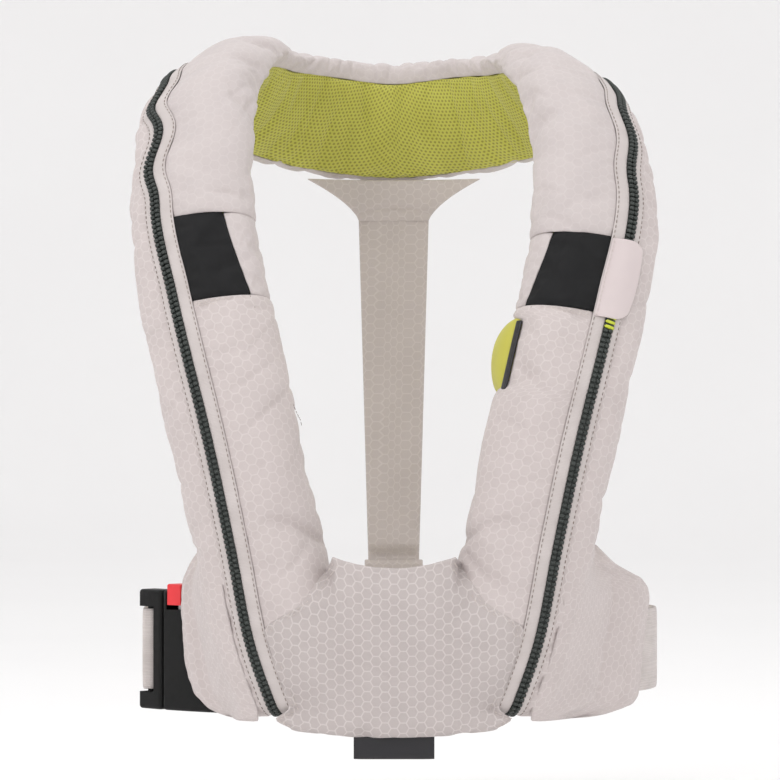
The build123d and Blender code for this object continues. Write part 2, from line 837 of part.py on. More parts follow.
marker_half = half_chain + 2
marker_edges = across_at(-marker_half), across_at(marker_half)
marker = strip(left(4.5), left(4.7), *marker_edges, -chain_proud - 1.3, -chain_proud - 0.3)
keep(marker, "burst_marker")

nape_frame = frame_at(nape)
chain_place = skin_point(nape_frame, nape_frame.zip)
chain_across = skin_point(nape_frame, nape_frame.zip + 3) - skin_point(nape_frame, nape_frame.zip - 3)
slider_plane = Plane(origin=chain_place, x_dir=(1, 0, 0), z_dir=Vector(1, 0, 0).cross(chain_across))
if slider_plane.z_dir.dot(nape_frame.facing) < 0:
    slider_plane = Plane(origin=chain_place, x_dir=(1, 0, 0), z_dir=-slider_plane.z_dir)
slider_gap = chain_proud + 0.8
slider = 2.0
bridge_rise = 3.0
with BuildPart() as zip_slider:
    with BuildSketch(slider_plane.offset(slider_gap)):
        RectangleRounded(14, 9, 2)
    extrude(amount=slider)
    with BuildSketch(slider_plane.offset(slider_gap + slider)):
        with Locations((0, 3.4), (0, -3.4)):
            Rectangle(3, 1.2)
    extrude(amount=bridge_rise)
    bar_plane = Plane(
        origin=slider_plane.from_local_coords((0, 0, slider_gap + slider + bridge_rise - 1.2)),
        x_dir=(1, 0, 0),
        z_dir=slider_plane.y_dir,
    )
    with BuildSketch(bar_plane):
        Circle(0.8)
    extrude(amount=3.4, both=True)
keep(zip_slider, "zip_slider")

pull_length = 24
with BuildPart() as zip_pull:
    with BuildSketch(bar_plane):
        Circle(1.5)
        with Locations((pull_length / 2, 0)):
            Rectangle(pull_length, 1.6)
        Circle(0.88, mode=Mode.SUBTRACT)
    extrude(amount=2.5, both=True)
keep(zip_pull, "zip_pull")
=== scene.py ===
"""The looks of a slim inflatable life jacket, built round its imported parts. Lengths are in millimetres
until a mesh is made, which is in metres. A place along the band runs from 0 at the wearer's right hem,
over the shoulder to 11 at the nape, and on to 22 at the left hem. Across the band, u runs from the
neck edge to the outer edge, n stands out from the wearer, and theta goes round the section: 0 is the
neck edge, 90 degrees the crown, 180 the outer edge and 270 the middle of the lining."""

import json
from math import acos, atan2, copysign, cos, degrees, exp, pi, radians, sin, sqrt

import bmesh
import bpy
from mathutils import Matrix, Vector, noise
from mathutils.bvhtree import BVHTree

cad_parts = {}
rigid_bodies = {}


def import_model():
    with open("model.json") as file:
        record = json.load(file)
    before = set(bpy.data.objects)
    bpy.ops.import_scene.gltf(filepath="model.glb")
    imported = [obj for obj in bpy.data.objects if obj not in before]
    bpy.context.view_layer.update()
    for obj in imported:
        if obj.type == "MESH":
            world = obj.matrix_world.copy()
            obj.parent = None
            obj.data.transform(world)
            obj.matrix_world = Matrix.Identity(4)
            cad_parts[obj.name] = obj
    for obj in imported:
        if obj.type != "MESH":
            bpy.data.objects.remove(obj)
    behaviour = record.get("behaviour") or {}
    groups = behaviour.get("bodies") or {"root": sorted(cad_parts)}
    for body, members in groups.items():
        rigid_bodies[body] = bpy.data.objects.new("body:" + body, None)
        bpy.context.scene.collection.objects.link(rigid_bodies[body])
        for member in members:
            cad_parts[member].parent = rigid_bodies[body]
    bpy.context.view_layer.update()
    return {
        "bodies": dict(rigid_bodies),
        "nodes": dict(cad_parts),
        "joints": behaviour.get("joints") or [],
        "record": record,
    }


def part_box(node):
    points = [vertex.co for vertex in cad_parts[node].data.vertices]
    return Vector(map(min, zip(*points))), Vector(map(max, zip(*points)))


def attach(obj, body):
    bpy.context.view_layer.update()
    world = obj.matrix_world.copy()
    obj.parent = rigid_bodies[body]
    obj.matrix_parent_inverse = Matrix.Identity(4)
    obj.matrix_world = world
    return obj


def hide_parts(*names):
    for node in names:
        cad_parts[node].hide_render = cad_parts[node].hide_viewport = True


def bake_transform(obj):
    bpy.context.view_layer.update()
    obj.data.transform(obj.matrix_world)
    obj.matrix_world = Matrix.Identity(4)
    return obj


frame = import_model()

MM = 0.001

# ---------------------------------------------------------------- the band's shape
HALF_CHEST, NECK_DROP, CHEST_DEPTH, NAPE_DEPTH = 122, 374, 112, 71
BAND_HALF = 38
SKIN_POWER = 2.4
WIDEST = 8  # height above the wearer at which the section is widest
UNDER = 0.6  # how far the padded lining swells towards the wearer
HEM_ROUND = 0.32  # places over which each hem is drawn in

RIGHT_HALF = [  # x, y, z shares; direction across; direction out; thickness; the zip's u
    (-0.43, -0.93, -1.00, (-1.00, 0.12, -0.06), (-0.10, -0.99, -0.05), 36, 13),
    (-0.54, -0.95, -0.88, (-1.00, 0.16, -0.10), (-0.15, -0.98, -0.02), 42, 13),
    (-0.64, -0.97, -0.73, (-1.00, 0.12, -0.12), (-0.12, -0.99, 0.02), 46, 13),
    (-0.75, -1.00, -0.57, (-1.00, 0.10, -0.16), (-0.10, -0.99, 0.05), 46, 13),
    (-0.84, -0.98, -0.44, (-1.00, 0.12, -0.18), (-0.12, -0.98, 0.14), 43, 14),
    (-0.91, -0.92, -0.34, (-1.00, 0.15, -0.15), (-0.16, -0.96, 0.20), 37, 15),
    (-0.97, -0.79, -0.21, (-0.98, 0.22, -0.13), (-0.24, -0.90, 0.36), 32, 18),
    (-0.95, -0.50, -0.06, (-0.94, 0.18, -0.28), (-0.33, -0.60, 0.72), 30, 21),
    (-0.83, -0.08, 0.01, (-0.86, -0.04, -0.50), (-0.46, 0.08, 0.87), 30, 22),
    (-0.62, 0.52, -0.005, (-0.61, 0.02, -0.79), (-0.52, 0.61, 0.54), 29, 21),
    (-0.33, 0.88, -0.02, (-0.26, 0.20, -0.94), (-0.20, 0.93, 0.26), 28, 20),
    (0.00, 1.00, -0.03, (0.00, 0.26, -0.96), (0.00, 0.96, 0.26), 28, 20),
]
END = 2 * (len(RIGHT_HALF) - 1)
NAPE = END // 2


def numbers(station):
    x, y, z, across, facing, thickness, zip_place = station
    depth = CHEST_DEPTH if y < 0 else NAPE_DEPTH
    return [x * HALF_CHEST, y * depth, z * NECK_DROP, *across, *facing, thickness, zip_place]


def mirrored(row):
    return [-value if i in (0, 3, 6) else value for i, value in enumerate(row)]


right_rows = [numbers(station) for station in RIGHT_HALF]
ROWS = right_rows + [mirrored(row) for row in reversed(right_rows[:-1])]
for station, drop in ((13, 2), (14, 5), (15, 4)):
    # The left shoulder hangs a little lower and nearer the neck.
    ROWS[station][0] -= drop
    ROWS[station][2] -= drop


def clamp(value):
    return min(max(value, 0), 1)


def left(place):
    return END - place


def right(place):
    return place


def curve(p, q, r, s, t):
    """A Catmull-Rom curve from q to r, at a share t of the way."""
    return 0.5 * (2 * q + (r - p) * t + (2 * p - 5 * q + 4 * r - s) * t**2 + (3 * q - p - 3 * r + s) * t**3)


class Frame:
    """The band's position, directions and sizes at one place, on a Catmull-Rom curve."""

    def __init__(self, place):
        place = min(max(place, 0), END)
        i = min(int(place), END - 1)
        t = place - i
        a, b, c, d = (ROWS[min(max(i + k, 0), END)] for k in (-1, 0, 1, 2))
        row = [curve(p, q, r, s, t) for p, q, r, s in zip(a, b, c, d)]
        self.place = place
        self.centre = Vector(row[0:3])
        self.across = Vector(row[3:6]).normalized()
        facing = Vector(row[6:9])
        self.facing = (facing - self.across * facing.dot(self.across)).normalized()
        self.thickness = row[9]
        self.zip = row[10] + zip_wander(place)

    def point(self, u, n):
        return self.centre + self.across * u + self.facing * n


def zip_wander(place):
    """The zip snakes over each shoulder, where the fabric is gathered, and more so on the right."""
    near = min(place, END - place)
    window = exp(-(((near - 6.75) / 0.62) ** 4))
    return (4.0 if place < END / 2 else -1.8) * window * -cos(2 * pi * (near - 6.67) / 0.73)


def closing(place):
    """Share of the full thickness: each hem is drawn in to a seam, as a pillow's end is."""
    gap = min(place, END - place) / HEM_ROUND
    return 1.0 if gap >= 1 else max(0.06, sqrt(1 - (1 - gap) ** 2))


def section(frame, theta, rise=0.0):
    """Point of the padded section at an angle, rise mm outside it."""
    c, s = cos(theta), sin(theta)
    u = -copysign(abs(c) ** (2 / SKIN_POWER), c) * (BAND_HALF + rise)
    height = frame.thickness - WIDEST if s > 0 else -(WIDEST + UNDER)
    n = WIDEST + (height + copysign(1, height) * rise) * abs(s) ** (2 / SKIN_POWER) * closing(frame.place)
    return frame.point(u, n)


def theta_at(u):
    """Angle on the crown side at a distance u across the band."""
    return acos(-copysign(min(1.0, abs(u / BAND_HALF)) ** (SKIN_POWER / 2), u))


def skin(place, u, rise=0.0):
    """Point on the crown side of the band, u mm across."""
    return section(Frame(place), theta_at(u), rise)


def outward(place, u):
    """Direction out of the fabric there."""
    along = skin(place + 0.02, u) - skin(place - 0.02, u)
    side = skin(place, u + 0.5) - skin(place, u - 0.5)
    normal = side.cross(along).normalized()
    return normal if normal.dot(Frame(place).facing) > 0 else -normal


# ---------------------------------------------------------------- meshes
def new_object(name, vertices, faces, cloth=None):
    """A mesh object, in metres from millimetres. cloth holds each vertex's flat place, in mm."""
    mesh = bpy.data.meshes.new(name)
    mesh.from_pydata([Vector(v) * MM for v in vertices], [], faces)
    if cloth:
        attribute = mesh.attributes.new("cloth", "FLOAT_VECTOR", "POINT")
        attribute.data.foreach_set("vector", [x for p in cloth for x in (p[0], p[1], 0.0)])
    mesh.update()
    obj = bpy.data.objects.new(name, mesh)
    bpy.context.scene.collection.objects.link(obj)
    mesh.shade_smooth()
    return obj


def grid_object(name, rows, away_from, loop=False):
    """A sheet from rows of points, all of one length, with its flat position measured along the rows.
    Its faces look away from the point that away_from gives for a row."""
    count = len(rows[0])
    vertices = [p for row in rows for p in row]
    middle = count // 2
    along = 0.0
    cloth = []
    for i, row in enumerate(rows):
        if i:
            along += (row[middle] - rows[i - 1][middle]).length
        across = [0.0]
        for a, b in zip(row, row[1:]):
            across.append(across[-1] + (b - a).length)
        for x in across:
            cloth.append((x - across[middle], along))
    i, j = len(rows) // 2 - 1, middle - 1
    normal = (rows[i][j + 1] - rows[i][j]).cross(rows[i + 1][j] - rows[i][j])
    flip = normal.dot(rows[i][j] - away_from(i)) < 0
    faces = []
    for i in range(len(rows) - 1):
        for j in range(count if loop else count - 1):
            a, b = i * count + j, i * count + (j + 1) % count
            face = (a, b, b + count, a + count)
            faces.append(face[::-1] if flip else face)
    if loop:
        low, high = list(range(count)), [len(vertices) - count + k for k in range(count)]
        faces += [low if flip else low[::-1], high[::-1] if flip else high]
    return new_object(name, vertices, faces, cloth)


def spaced(start, end, step):
    count = max(2, round(abs(end - start) / step) + 1)
    return [start + (end - start) * k / (count - 1) for k in range(count)]


def modifier(obj, kind, **settings):
    made = obj.modifiers.new(kind.lower(), kind)
    for key, value in settings.items():
        setattr(made, key, value)
    return made


def bake(obj):
    """Makes the object's modifiers part of its mesh."""
    bpy.context.view_layer.update()
    evaluated = obj.evaluated_get(bpy.context.evaluated_depsgraph_get())
    mesh = bpy.data.meshes.new_from_object(evaluated)
    obj.modifiers.clear()
    old = obj.data
    obj.data = mesh
    bpy.data.meshes.remove(old)
    obj.data.name = obj.name
    obj.data.shade_smooth()
    return obj


def thicken(obj, wall):
    """Gives a sheet its cloth thickness, inwards, and rounds its edge."""
    modifier(obj, "SOLIDIFY", thickness=wall * MM, offset=-1, use_rim=True, use_even_offset=True)
    modifier(obj, "SUBSURF", levels=1, render_levels=1)
    return bake(obj)


def inflate(obj, pinned, pressure=4.0, slack=0.03, cap=6.0, frames=20, stiffness=12.0):
    """Fills a sheet from behind: cloth held at its seams, a little larger than its frame."""
    group = obj.vertex_groups.new(name="seams")
    group.add(pinned, 1.0, "REPLACE")
    rest = [v.co.copy() for v in obj.data.vertices]
    cloth = modifier(obj, "CLOTH")
    settings = cloth.settings
    settings.vertex_group_mass = "seams"
    settings.quality = 5
    settings.mass = 0.2
    settings.tension_stiffness = stiffness
    settings.compression_stiffness = stiffness
    settings.shear_stiffness = stiffness / 3
    settings.bending_stiffness = 0.4
    settings.use_pressure = True
    settings.uniform_pressure_force = pressure
    settings.shrink_min = -slack
    settings.effector_weights.gravity = 0
    cloth.collision_settings.use_collision = False
    cloth.point_cache.frame_start = 1
    cloth.point_cache.frame_end = frames
    scene = bpy.context.scene
    for number in range(1, frames + 1):
        scene.frame_set(number)
    evaluated = obj.evaluated_get(bpy.context.evaluated_depsgraph_get())
    moved = [v.co.copy() for v in evaluated.data.vertices]
    obj.modifiers.clear()
    for vertex, start, end in zip(obj.data.vertices, rest, moved):
        step = end - start
        limit = cap * MM
        vertex.co = start + (step if step.length < limit else step.normalized() * limit)
    obj.vertex_groups.clear()
    scene.frame_set(1)
    return obj


def border(rows, columns):
    """Numbers of a grid's outermost points."""
    ends = (0, rows - 1), (0, columns - 1)
    return [i * columns + j for i in range(rows) for j in range(columns) if i in ends[0] or j in ends[1]]


# ---------------------------------------------------------------- materials
# Cloth patterns read the attribute "cloth": x across the piece and y along it, in mm on the flat fabric.
HONEYCOMB, MESH_HOLES = 6.1, 2.6  # across the flats of one cell


def linear(code):
    """An sRGB hex colour as the linear values that a shader takes."""
    parts = [int(code[i : i + 2], 16) / 255 for i in (1, 3, 5)]
    return [(c / 12.92 if c <= 0.04045 else ((c + 0.055) / 1.055) ** 2.4) for c in parts] + [1.0]


def add(tree, kind, inputs=None, **settings):
    """One node with its settings. Each input is given a value, or another node's socket to read."""
    made = tree.nodes.new(kind)
    for key, value in settings.items():
        setattr(made, key, value)
    for name, value in (inputs or {}).items():
        if isinstance(value, bpy.types.NodeSocket):
            tree.links.new(value, made.inputs[name])
        else:
            made.inputs[name].default_value = value
    return made


def start_material(name, **shader):
    material = bpy.data.materials.new(name)
    material.use_nodes = True
    tree = material.node_tree
    surface = tree.nodes["Principled BSDF"]
    for key, value in shader.items():
        surface.inputs[key.replace("_", " ")].default_value = value
    return material, tree, surface


def cell_distance(tree, place, size):
    """Distance from the nearest cell's middle in a honeycomb with level tops, 0.5 at a cell's wall.
    size is across the flats, in mm."""
    split = add(tree, "ShaderNodeSeparateXYZ", {0: place})
    across, along = (
        add(tree, "ShaderNodeMath", {0: split.outputs[k], 1: size}, operation="DIVIDE").outputs[0]
            for k in (0, 1)
    )
    p = add(tree, "ShaderNodeCombineXYZ", {0: along, 1: across}).outputs[0]
    half = (0.5, sqrt(3) / 2, 0.5)
    offsets = []
    for shift in ((0.0, 0.0, 0.0), (0.5, sqrt(3) / 2, 0.0)):
        moved = add(tree, "ShaderNodeVectorMath", {0: p, 1: shift}, operation="SUBTRACT").outputs[0]
        wrapped = add(
            tree, "ShaderNodeVectorMath", {0: moved, 1: half, 2: [-h for h in half]}, operation="WRAP"
        )
        offsets.append(wrapped.outputs[0])
    lengths = [
        add(tree, "ShaderNodeVectorMath", {0: v}, operation="LENGTH").outputs["Value"] for v in offsets
    ]
    second = add(tree, "ShaderNodeMath", {0: lengths[1], 1: lengths[0]}, operation="LESS_THAN").outputs[0]
    nearest = add(
        tree, "ShaderNodeMix", {0: second, 4: offsets[0], 5: offsets[1]}, data_type="VECTOR"
    ).outputs[1]
    nearest = add(tree, "ShaderNodeVectorMath", {0: nearest}, operation="ABSOLUTE").outputs[0]
    slant = add(
        tree, "ShaderNodeVectorMath", {0: nearest, 1: (0.5, sqrt(3) / 2, 0.0)}, operation="DOT_PRODUCT"
    ).outputs["Value"]
    level = add(tree, "ShaderNodeSeparateXYZ", {0: nearest}).outputs[0]
    return add(tree, "ShaderNodeMath", {0: slant, 1: level}, operation="MAXIMUM").outputs[0]


def speckle(tree, place, pitch, detail=2.0, stretch=(1, 1, 1)):
    """Soft noise with a grain pitch in the place's own units."""
    mapped = add(tree, "ShaderNodeMapping", {0: place, 3: [k / pitch for k in stretch]}).outputs[0]
    return add(tree, "ShaderNodeTexNoise", {"Vector": mapped, "Scale": 1.0, "Detail": detail}).outputs["Fac"]


def mottled(tree, place, pitch, colour, shade):
    """A colour that drifts towards its shade in soft patches, about pitch across."""
    inputs = {0: speckle(tree, place, pitch), 6: linear(colour), 7: linear(shade)}
    return add(tree, "ShaderNodeMix", inputs, data_type="RGBA").outputs[2]


def ribs(tree, place, pitch, axis):
    """Even ribs, 0 to 1, across the fabric's x or y."""
    value = add(tree, "ShaderNodeSeparateXYZ", {0: place}).outputs[axis]
    turn = add(tree, "ShaderNodeMath", {0: value, 1: 2 * pi / pitch}, operation="MULTIPLY").outputs[0]
    wave = add(tree, "ShaderNodeMath", {0: turn}, operation="SINE").outputs[0]
    return add(tree, "ShaderNodeMath", {0: wave, 1: 0.5, 2: 0.5}, operation="MULTIPLY_ADD").outputs[0]


def weave(tree, place, pitch):
    """Over and under of a plain weave with threads pitch mm apart."""
    threads = {axis: ribs(tree, place, pitch, axis) for axis in (0, 1)}
    return add(tree, "ShaderNodeMath", threads, operation="MULTIPLY").outputs[0]


def raise_surface(tree, surface, layers):
    """Bump from (height socket, relief in mm, strength) layers, the finest last."""
    normal = None
    for height, relief, strength in layers:
        inputs = {"Height": height, "Distance": relief * MM, "Strength": strength}
        if normal:
            inputs["Normal"] = normal
        normal = add(tree, "ShaderNodeBump", inputs).outputs[0]
    tree.links.new(normal, surface.inputs["Normal"])


def shell_fabric(name, colour, shade, honeycomb):
    """Ripstop nylon, woven and coated on its back: matt, with a raised honeycomb of heavier threads that
    carry a painted highlight, fine puckers between them and a slightly darker, warmer tone where it has been
    handled."""
    material, tree, surface = start_material(
        name, Roughness=0.78, Sheen_Weight=0.12, Sheen_Roughness=0.5, Specular_IOR_Level=0.35
    )
    place = add(tree, "ShaderNodeAttribute", attribute_name="cloth").outputs["Vector"]
    cells = {0: cell_distance(tree, place, HONEYCOMB), 1: 0.40, 2: 0.49}
    lines = add(tree, "ShaderNodeMapRange", cells, interpolation_type="SMOOTHSTEP").outputs[0]
    tone = mottled(tree, place, 26.0, colour, shade)
    # Painted highlight: the honeycomb's raised threads are drawn towards near-white, as if catching the
    # light.
    honeycomb_highlight = add(tree, "ShaderNodeMath", {0: lines, 1: 0.35 * honeycomb}, operation="MULTIPLY").outputs[0]
    light = add(tree, "ShaderNodeMix", {0: honeycomb_highlight, 6: tone, 7: linear("#F4EEEC")}, data_type="RGBA").outputs[2]
    tree.links.new(light, surface.inputs["Base Color"])
    raise_surface(
        tree,
        surface,
        [
            (speckle(tree, place, 15.0, 3.0), 1.1, 0.32),
            (speckle(tree, place, 4.5, 2.0), 0.35, 0.35),
            (lines, 0.28, 0.55 * honeycomb),
            # Threads are 0.2 mm apart, and drawn at 0.9 mm so that they show.
            (weave(tree, place, 0.9), 0.06, 0.25),
        ],
    )
    return material


def ribbed_fabric(name, colour, shade, pitch, axis, relief, roughness=0.7):
    """Woven tape or webbing: polyester yarns side by side, which catch the light as fine ribs, with painted
    shade in the grooves between them.
    """
    material, tree, surface = start_material(name, Roughness=roughness, Sheen_Weight=0.1)
    place = add(tree, "ShaderNodeAttribute", attribute_name="cloth").outputs["Vector"]
    rows = ribs(tree, place, pitch, axis)
    picks = ribs(tree, place, pitch * 0.8, 1 - axis)
    tone = mottled(tree, place, 18.0, colour, shade)
    # Painted shade: the grooves between the ribs are drawn towards the shade colour.
    groove_shade = add(tree, "ShaderNodeMath", {0: rows, 1: -0.3, 2: 0.3}, operation="MULTIPLY_ADD").outputs[0]
    tone = add(tree, "ShaderNodeMix", {0: groove_shade, 6: tone, 7: linear(shade)}, data_type="RGBA").outputs[2]
    tree.links.new(tone, surface.inputs["Base Color"])
    raise_surface(
        tree,
        surface,
        [(speckle(tree, place, 9.0), 0.4, 0.3), (rows, relief, 0.7), (picks, relief * 0.5, 0.4)],
    )
    return material


def moulded(name, colour, shade, roughness, grit, relief=0.03, **shader):
    """An injection moulded plastic: an even colour with the fine spark-eroded grain of its mould."""
    material, tree, surface = start_material(name, Roughness=roughness, **shader)
    place = add(tree, "ShaderNodeTexCoord").outputs["Object"]
    tone = mottled(tree, place, 9 * MM, colour, shade)
    tree.links.new(tone, surface.inputs["Base Color"])
    worn = speckle(tree, place, 4 * MM, 4.0)
    limits = {0: worn, 1: 0.3, 2: 0.7, 3: roughness - 0.06, 4: roughness + 0.08}
    spread = add(tree, "ShaderNodeMapRange", limits)
    tree.links.new(spread.outputs[0], surface.inputs["Roughness"])
    raise_surface(tree, surface, [(speckle(tree, place, grit * MM, 3.0), relief, 0.5)])
    return material


def lime_mesh():
    """Spacer mesh, warp-knitted polyester: rows of small oval holes that go dark between bright ridges; the
    dark in the holes is painted shade.
    """
    material, tree, surface = start_material("lime_spacer_mesh_knitted", Roughness=0.8, Sheen_Weight=0.15)
    place = add(tree, "ShaderNodeAttribute", attribute_name="cloth").outputs["Vector"]
    cells = {0: cell_distance(tree, place, MESH_HOLES), 1: 0.36, 2: 0.20}
    hole = add(tree, "ShaderNodeMapRange", cells, interpolation_type="SMOOTHSTEP").outputs[0]
    tone = mottled(tree, place, 30.0, "#CBC95E", "#B5B146")
    # Painted shade: each hole is drawn towards a dimmer lime, for the shade deep inside it.
    dark = add(tree, "ShaderNodeMath", {0: hole, 1: 0.6}, operation="MULTIPLY").outputs[0]
    tone = add(tree, "ShaderNodeMix", {0: dark, 6: tone, 7: linear("#6E6B24")}, data_type="RGBA").outputs[2]
    tree.links.new(tone, surface.inputs["Base Color"])
    knit = add(tree, "ShaderNodeMath", {0: 1.0, 1: hole}, operation="SUBTRACT").outputs[0]
    layers = [(speckle(tree, place, 14.0), 1.0, 0.3), (knit, 0.6, 0.8), (weave(tree, place, 0.65), 0.1, 0.4)]
    raise_surface(tree, surface, layers)
    return material


def plain_cloth(name, colour, shade, roughness, pitch, wrinkle=0.5, sheen=0.1):
    """A close plain weave with a soft crumple and no pattern of its own."""
    material, tree, surface = start_material(
        name, Roughness=roughness, Sheen_Weight=sheen, Specular_IOR_Level=0.2
    )
    place = add(tree, "ShaderNodeAttribute", attribute_name="cloth").outputs["Vector"]
    tone = mottled(tree, place, 22.0, colour, shade)
    tree.links.new(tone, surface.inputs["Base Color"])
    raise_surface(
        tree,
        surface,
        [
            (speckle(tree, place, 16.0, 3.0), 1.0, wrinkle),
            (speckle(tree, place, 3.5, 2.0), 0.2, 0.35),
            (weave(tree, place, pitch), 0.05, 0.3),
        ],
    )
    return material


def drawn_metal(name, colour, roughness, stretch):
    """Metal with the fine lines of its drawing or turning."""
    material, tree, surface = start_material(name, Roughness=roughness, Metallic=1.0)
    place = add(tree, "ShaderNodeTexCoord").outputs["Object"]
    surface.inputs["Base Color"].default_value = linear(colour)
    lines = speckle(tree, place, 0.5 * MM, 2.0, stretch)
    limits = {0: lines, 1: 0.3, 2: 0.7, 3: roughness - 0.08, 4: roughness + 0.1}
    spread = add(tree, "ShaderNodeMapRange", limits)
    tree.links.new(spread.outputs[0], surface.inputs["Roughness"])
    raise_surface(tree, surface, [(lines, 0.02, 0.4)])
    return material


LOOK = {
    # The shell is matt and pale: its honeycomb, raised and with a painted highlight, shows most on the flat
    # panel and least where it is gathered.
    "shell": shell_fabric("light_ripstop_nylon_woven", "#C8BEBC", "#BCB2B0", 0.5),
    "upper": shell_fabric("light_ripstop_nylon_gathered", "#C9C0BE", "#BAB1B0", 0.22),
    "panel": shell_fabric("greyer_ripstop_nylon_woven", "#BCB3B1", "#AFA6A4", 0.75),
    # A thin coating fills this weave, so it stays an even black without a sheen.
    "window": plain_cloth("black_nylon_taffeta_coated", "#1F1F20", "#171718", 0.7, 0.7, 0.6, 0.0),
    "mesh": lime_mesh(),
    "bladder": plain_cloth("lime_bladder_nylon_coated", "#C3BE58", "#B2AD48", 0.5, 0.8, 0.3),
    # Webbing and tape are thick yarns, whose ribs show as fine shaded lines.
    "webbing": ribbed_fabric("light_polyester_webbing_woven", "#D9D1CE", "#B2A9A6", 1.5, 0, 0.22),
    "tape": ribbed_fabric("light_zip_tape_woven", "#D3CBC9", "#B6ADAA", 0.9, 1, 0.12),
    "satin": ribbed_fabric("black_polyester_satin_ribbon", "#1B191F", "#121015", 0.5, 1, 0.05, 0.36),
    "flap": plain_cloth("warm_white_laminate_cloth", "#D3C7C6", "#C8BCBC", 0.6, 0.8, 0.3),
    # Acetal is slippery and slightly waxy, so its edges keep a soft light.
    "tooth": moulded("dark_grey_acetal_moulded", "#3F4441", "#2F3331", 0.45, 0.35, Specular_IOR_Level=0.35),
    "buckle": moulded("black_acetal_moulded", "#0C0C0C", "#080808", 0.5, 0.4, Specular_IOR_Level=0.25),
    "button": moulded("red_acetal_moulded", "#E8343A", "#D92A31", 0.36, 0.4),
    "inflator": moulded("grey_nylon_moulded", "#5D6063", "#505356", 0.5, 0.45),
    "marker": moulded("lime_acetal_moulded", "#C9D33E", "#B7C130", 0.42, 0.35),
    "whistle": moulded("orange_polypropylene_moulded", "#F2661F", "#E25912", 0.32, 0.5),
    "rubber": moulded("black_rubber_moulded", "#1F1F20", "#171718", 0.6, 0.5),
    # Plated and turned metals keep the lines of their making, which draw the light out.
    "cylinder": drawn_metal("zinc_plated_steel_drawn", "#B9BBC0", 0.34, (1, 1, 0.06)),
    "spring": drawn_metal("spring_steel_drawn", "#A7A8AA", 0.3, (1, 1, 1)),
    "brass": drawn_metal("brass_turned", "#C8A24A", 0.3, (1, 1, 0.2)),
    # Thread is too fine for its twist to show; it is a matt colour with a little grain.
    "stitch": moulded("taupe_polyester_thread_twisted", "#8C7F76", "#7A6E66", 0.75, 0.3),
    "pale_stitch": moulded("light_polyester_thread_twisted", "#CFC5BF", "#BEB4AE", 0.75, 0.3),
    "lime_stitch": moulded("olive_polyester_thread_twisted", "#8F8C3C", "#7E7B32", 0.75, 0.3),
}


def finish_piece(obj, look, body="jacket", nodes=()):
    """Gives a piece its material and body, and hides the CAD nodes it stands for."""
    obj.data.materials.clear()
    obj.data.materials.append(LOOK[look])
    if body:
        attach(obj, body)
    if nodes:
        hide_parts(*nodes)
    return obj


# ---------------------------------------------------------------- repeats along a seam
def repeater():
    """A tree that sets one small rounded block on every point, turned to the point's own directions."""
    tree = bpy.data.node_groups.new("blocks along a seam", "GeometryNodeTree")
    sides = tree.interface
    sides.new_socket("Geometry", in_out="INPUT", socket_type="NodeSocketGeometry")
    for label in ("Across", "Along", "Height"):
        sides.new_socket(label, in_out="INPUT", socket_type="NodeSocketFloat")
    sides.new_socket("Material", in_out="INPUT", socket_type="NodeSocketMaterial")
    sides.new_socket("Geometry", in_out="OUTPUT", socket_type="NodeSocketGeometry")
    given = tree.nodes.new("NodeGroupInput").outputs
    size = add(tree, "ShaderNodeCombineXYZ", {0: given["Across"], 1: given["Along"], 2: given["Height"]})
    block = add(tree, "GeometryNodeMeshCube", {"Size": size.outputs[0]})
    rounding = {"Mesh": block.outputs["Mesh"], "Level": 1, "Edge Crease": 0.55}
    soft = add(tree, "GeometryNodeSubdivisionSurface", rounding)
    along, up = (
        add(tree, "GeometryNodeInputNamedAttribute", {"Name": label}, data_type="FLOAT_VECTOR").outputs[0]
        for label in ("along", "up")
    )
    standing = add(tree, "FunctionNodeAlignRotationToVector", {"Vector": up}, axis="Z")
    turned = add(
        tree,
        "FunctionNodeAlignRotationToVector",
        {"Rotation": standing.outputs[0], "Vector": along},
        axis="Y",
        pivot_axis="Z",
    )
    points = add(tree, "GeometryNodeMeshToPoints", {"Mesh": given["Geometry"]})
    placed = add(
        tree,
        "GeometryNodeInstanceOnPoints",
        {"Points": points.outputs[0], "Instance": soft.outputs[0], "Rotation": turned.outputs[0]},
    )
    plain = add(tree, "GeometryNodeRealizeInstances", {"Geometry": placed.outputs[0]})
    painted = {"Geometry": plain.outputs[0], "Material": given["Material"]}
    coloured = add(tree, "GeometryNodeSetMaterial", painted)
    add(tree, "NodeGroupOutput", {"Geometry": coloured.outputs[0]})
    return tree


REPEATER = repeater()


def repeat(name, spots, size, look, body="jacket", nodes=()):
    """Sets a block of size (across, along, height) mm on each spot, which is (position, along, up)."""
    mesh = bpy.data.meshes.new(name + "_spots")
    mesh.from_pydata([spot[0] * MM for spot in spots], [], [])
    for index, label in ((1, "along"), (2, "up")):
        attribute = mesh.attributes.new(label, "FLOAT_VECTOR", "POINT")
        attribute.data.foreach_set("vector", [x for spot in spots for x in spot[index].normalized()])
    holder = bpy.data.objects.new(name + "_spots", mesh)
    bpy.context.scene.collection.objects.link(holder)
    nodes_modifier = holder.modifiers.new("blocks", "NODES")
    nodes_modifier.node_group = REPEATER
    values = dict(zip(("Across", "Along", "Height"), (x * MM for x in size)), Material=LOOK[look])
    for item in REPEATER.interface.items_tree:
        if item.in_out == "INPUT" and item.name in values:
            nodes_modifier[item.identifier] = values[item.name]
    bpy.context.view_layer.update()
    made = bpy.data.meshes.new_from_object(holder.evaluated_get(bpy.context.evaluated_depsgraph_get()))
    made.name = name
    obj = bpy.data.objects.new(name, made)
    bpy.context.scene.collection.objects.link(obj)
    bpy.data.objects.remove(holder)
    obj.data.shade_smooth()
    return finish_piece(obj, look, body, nodes)


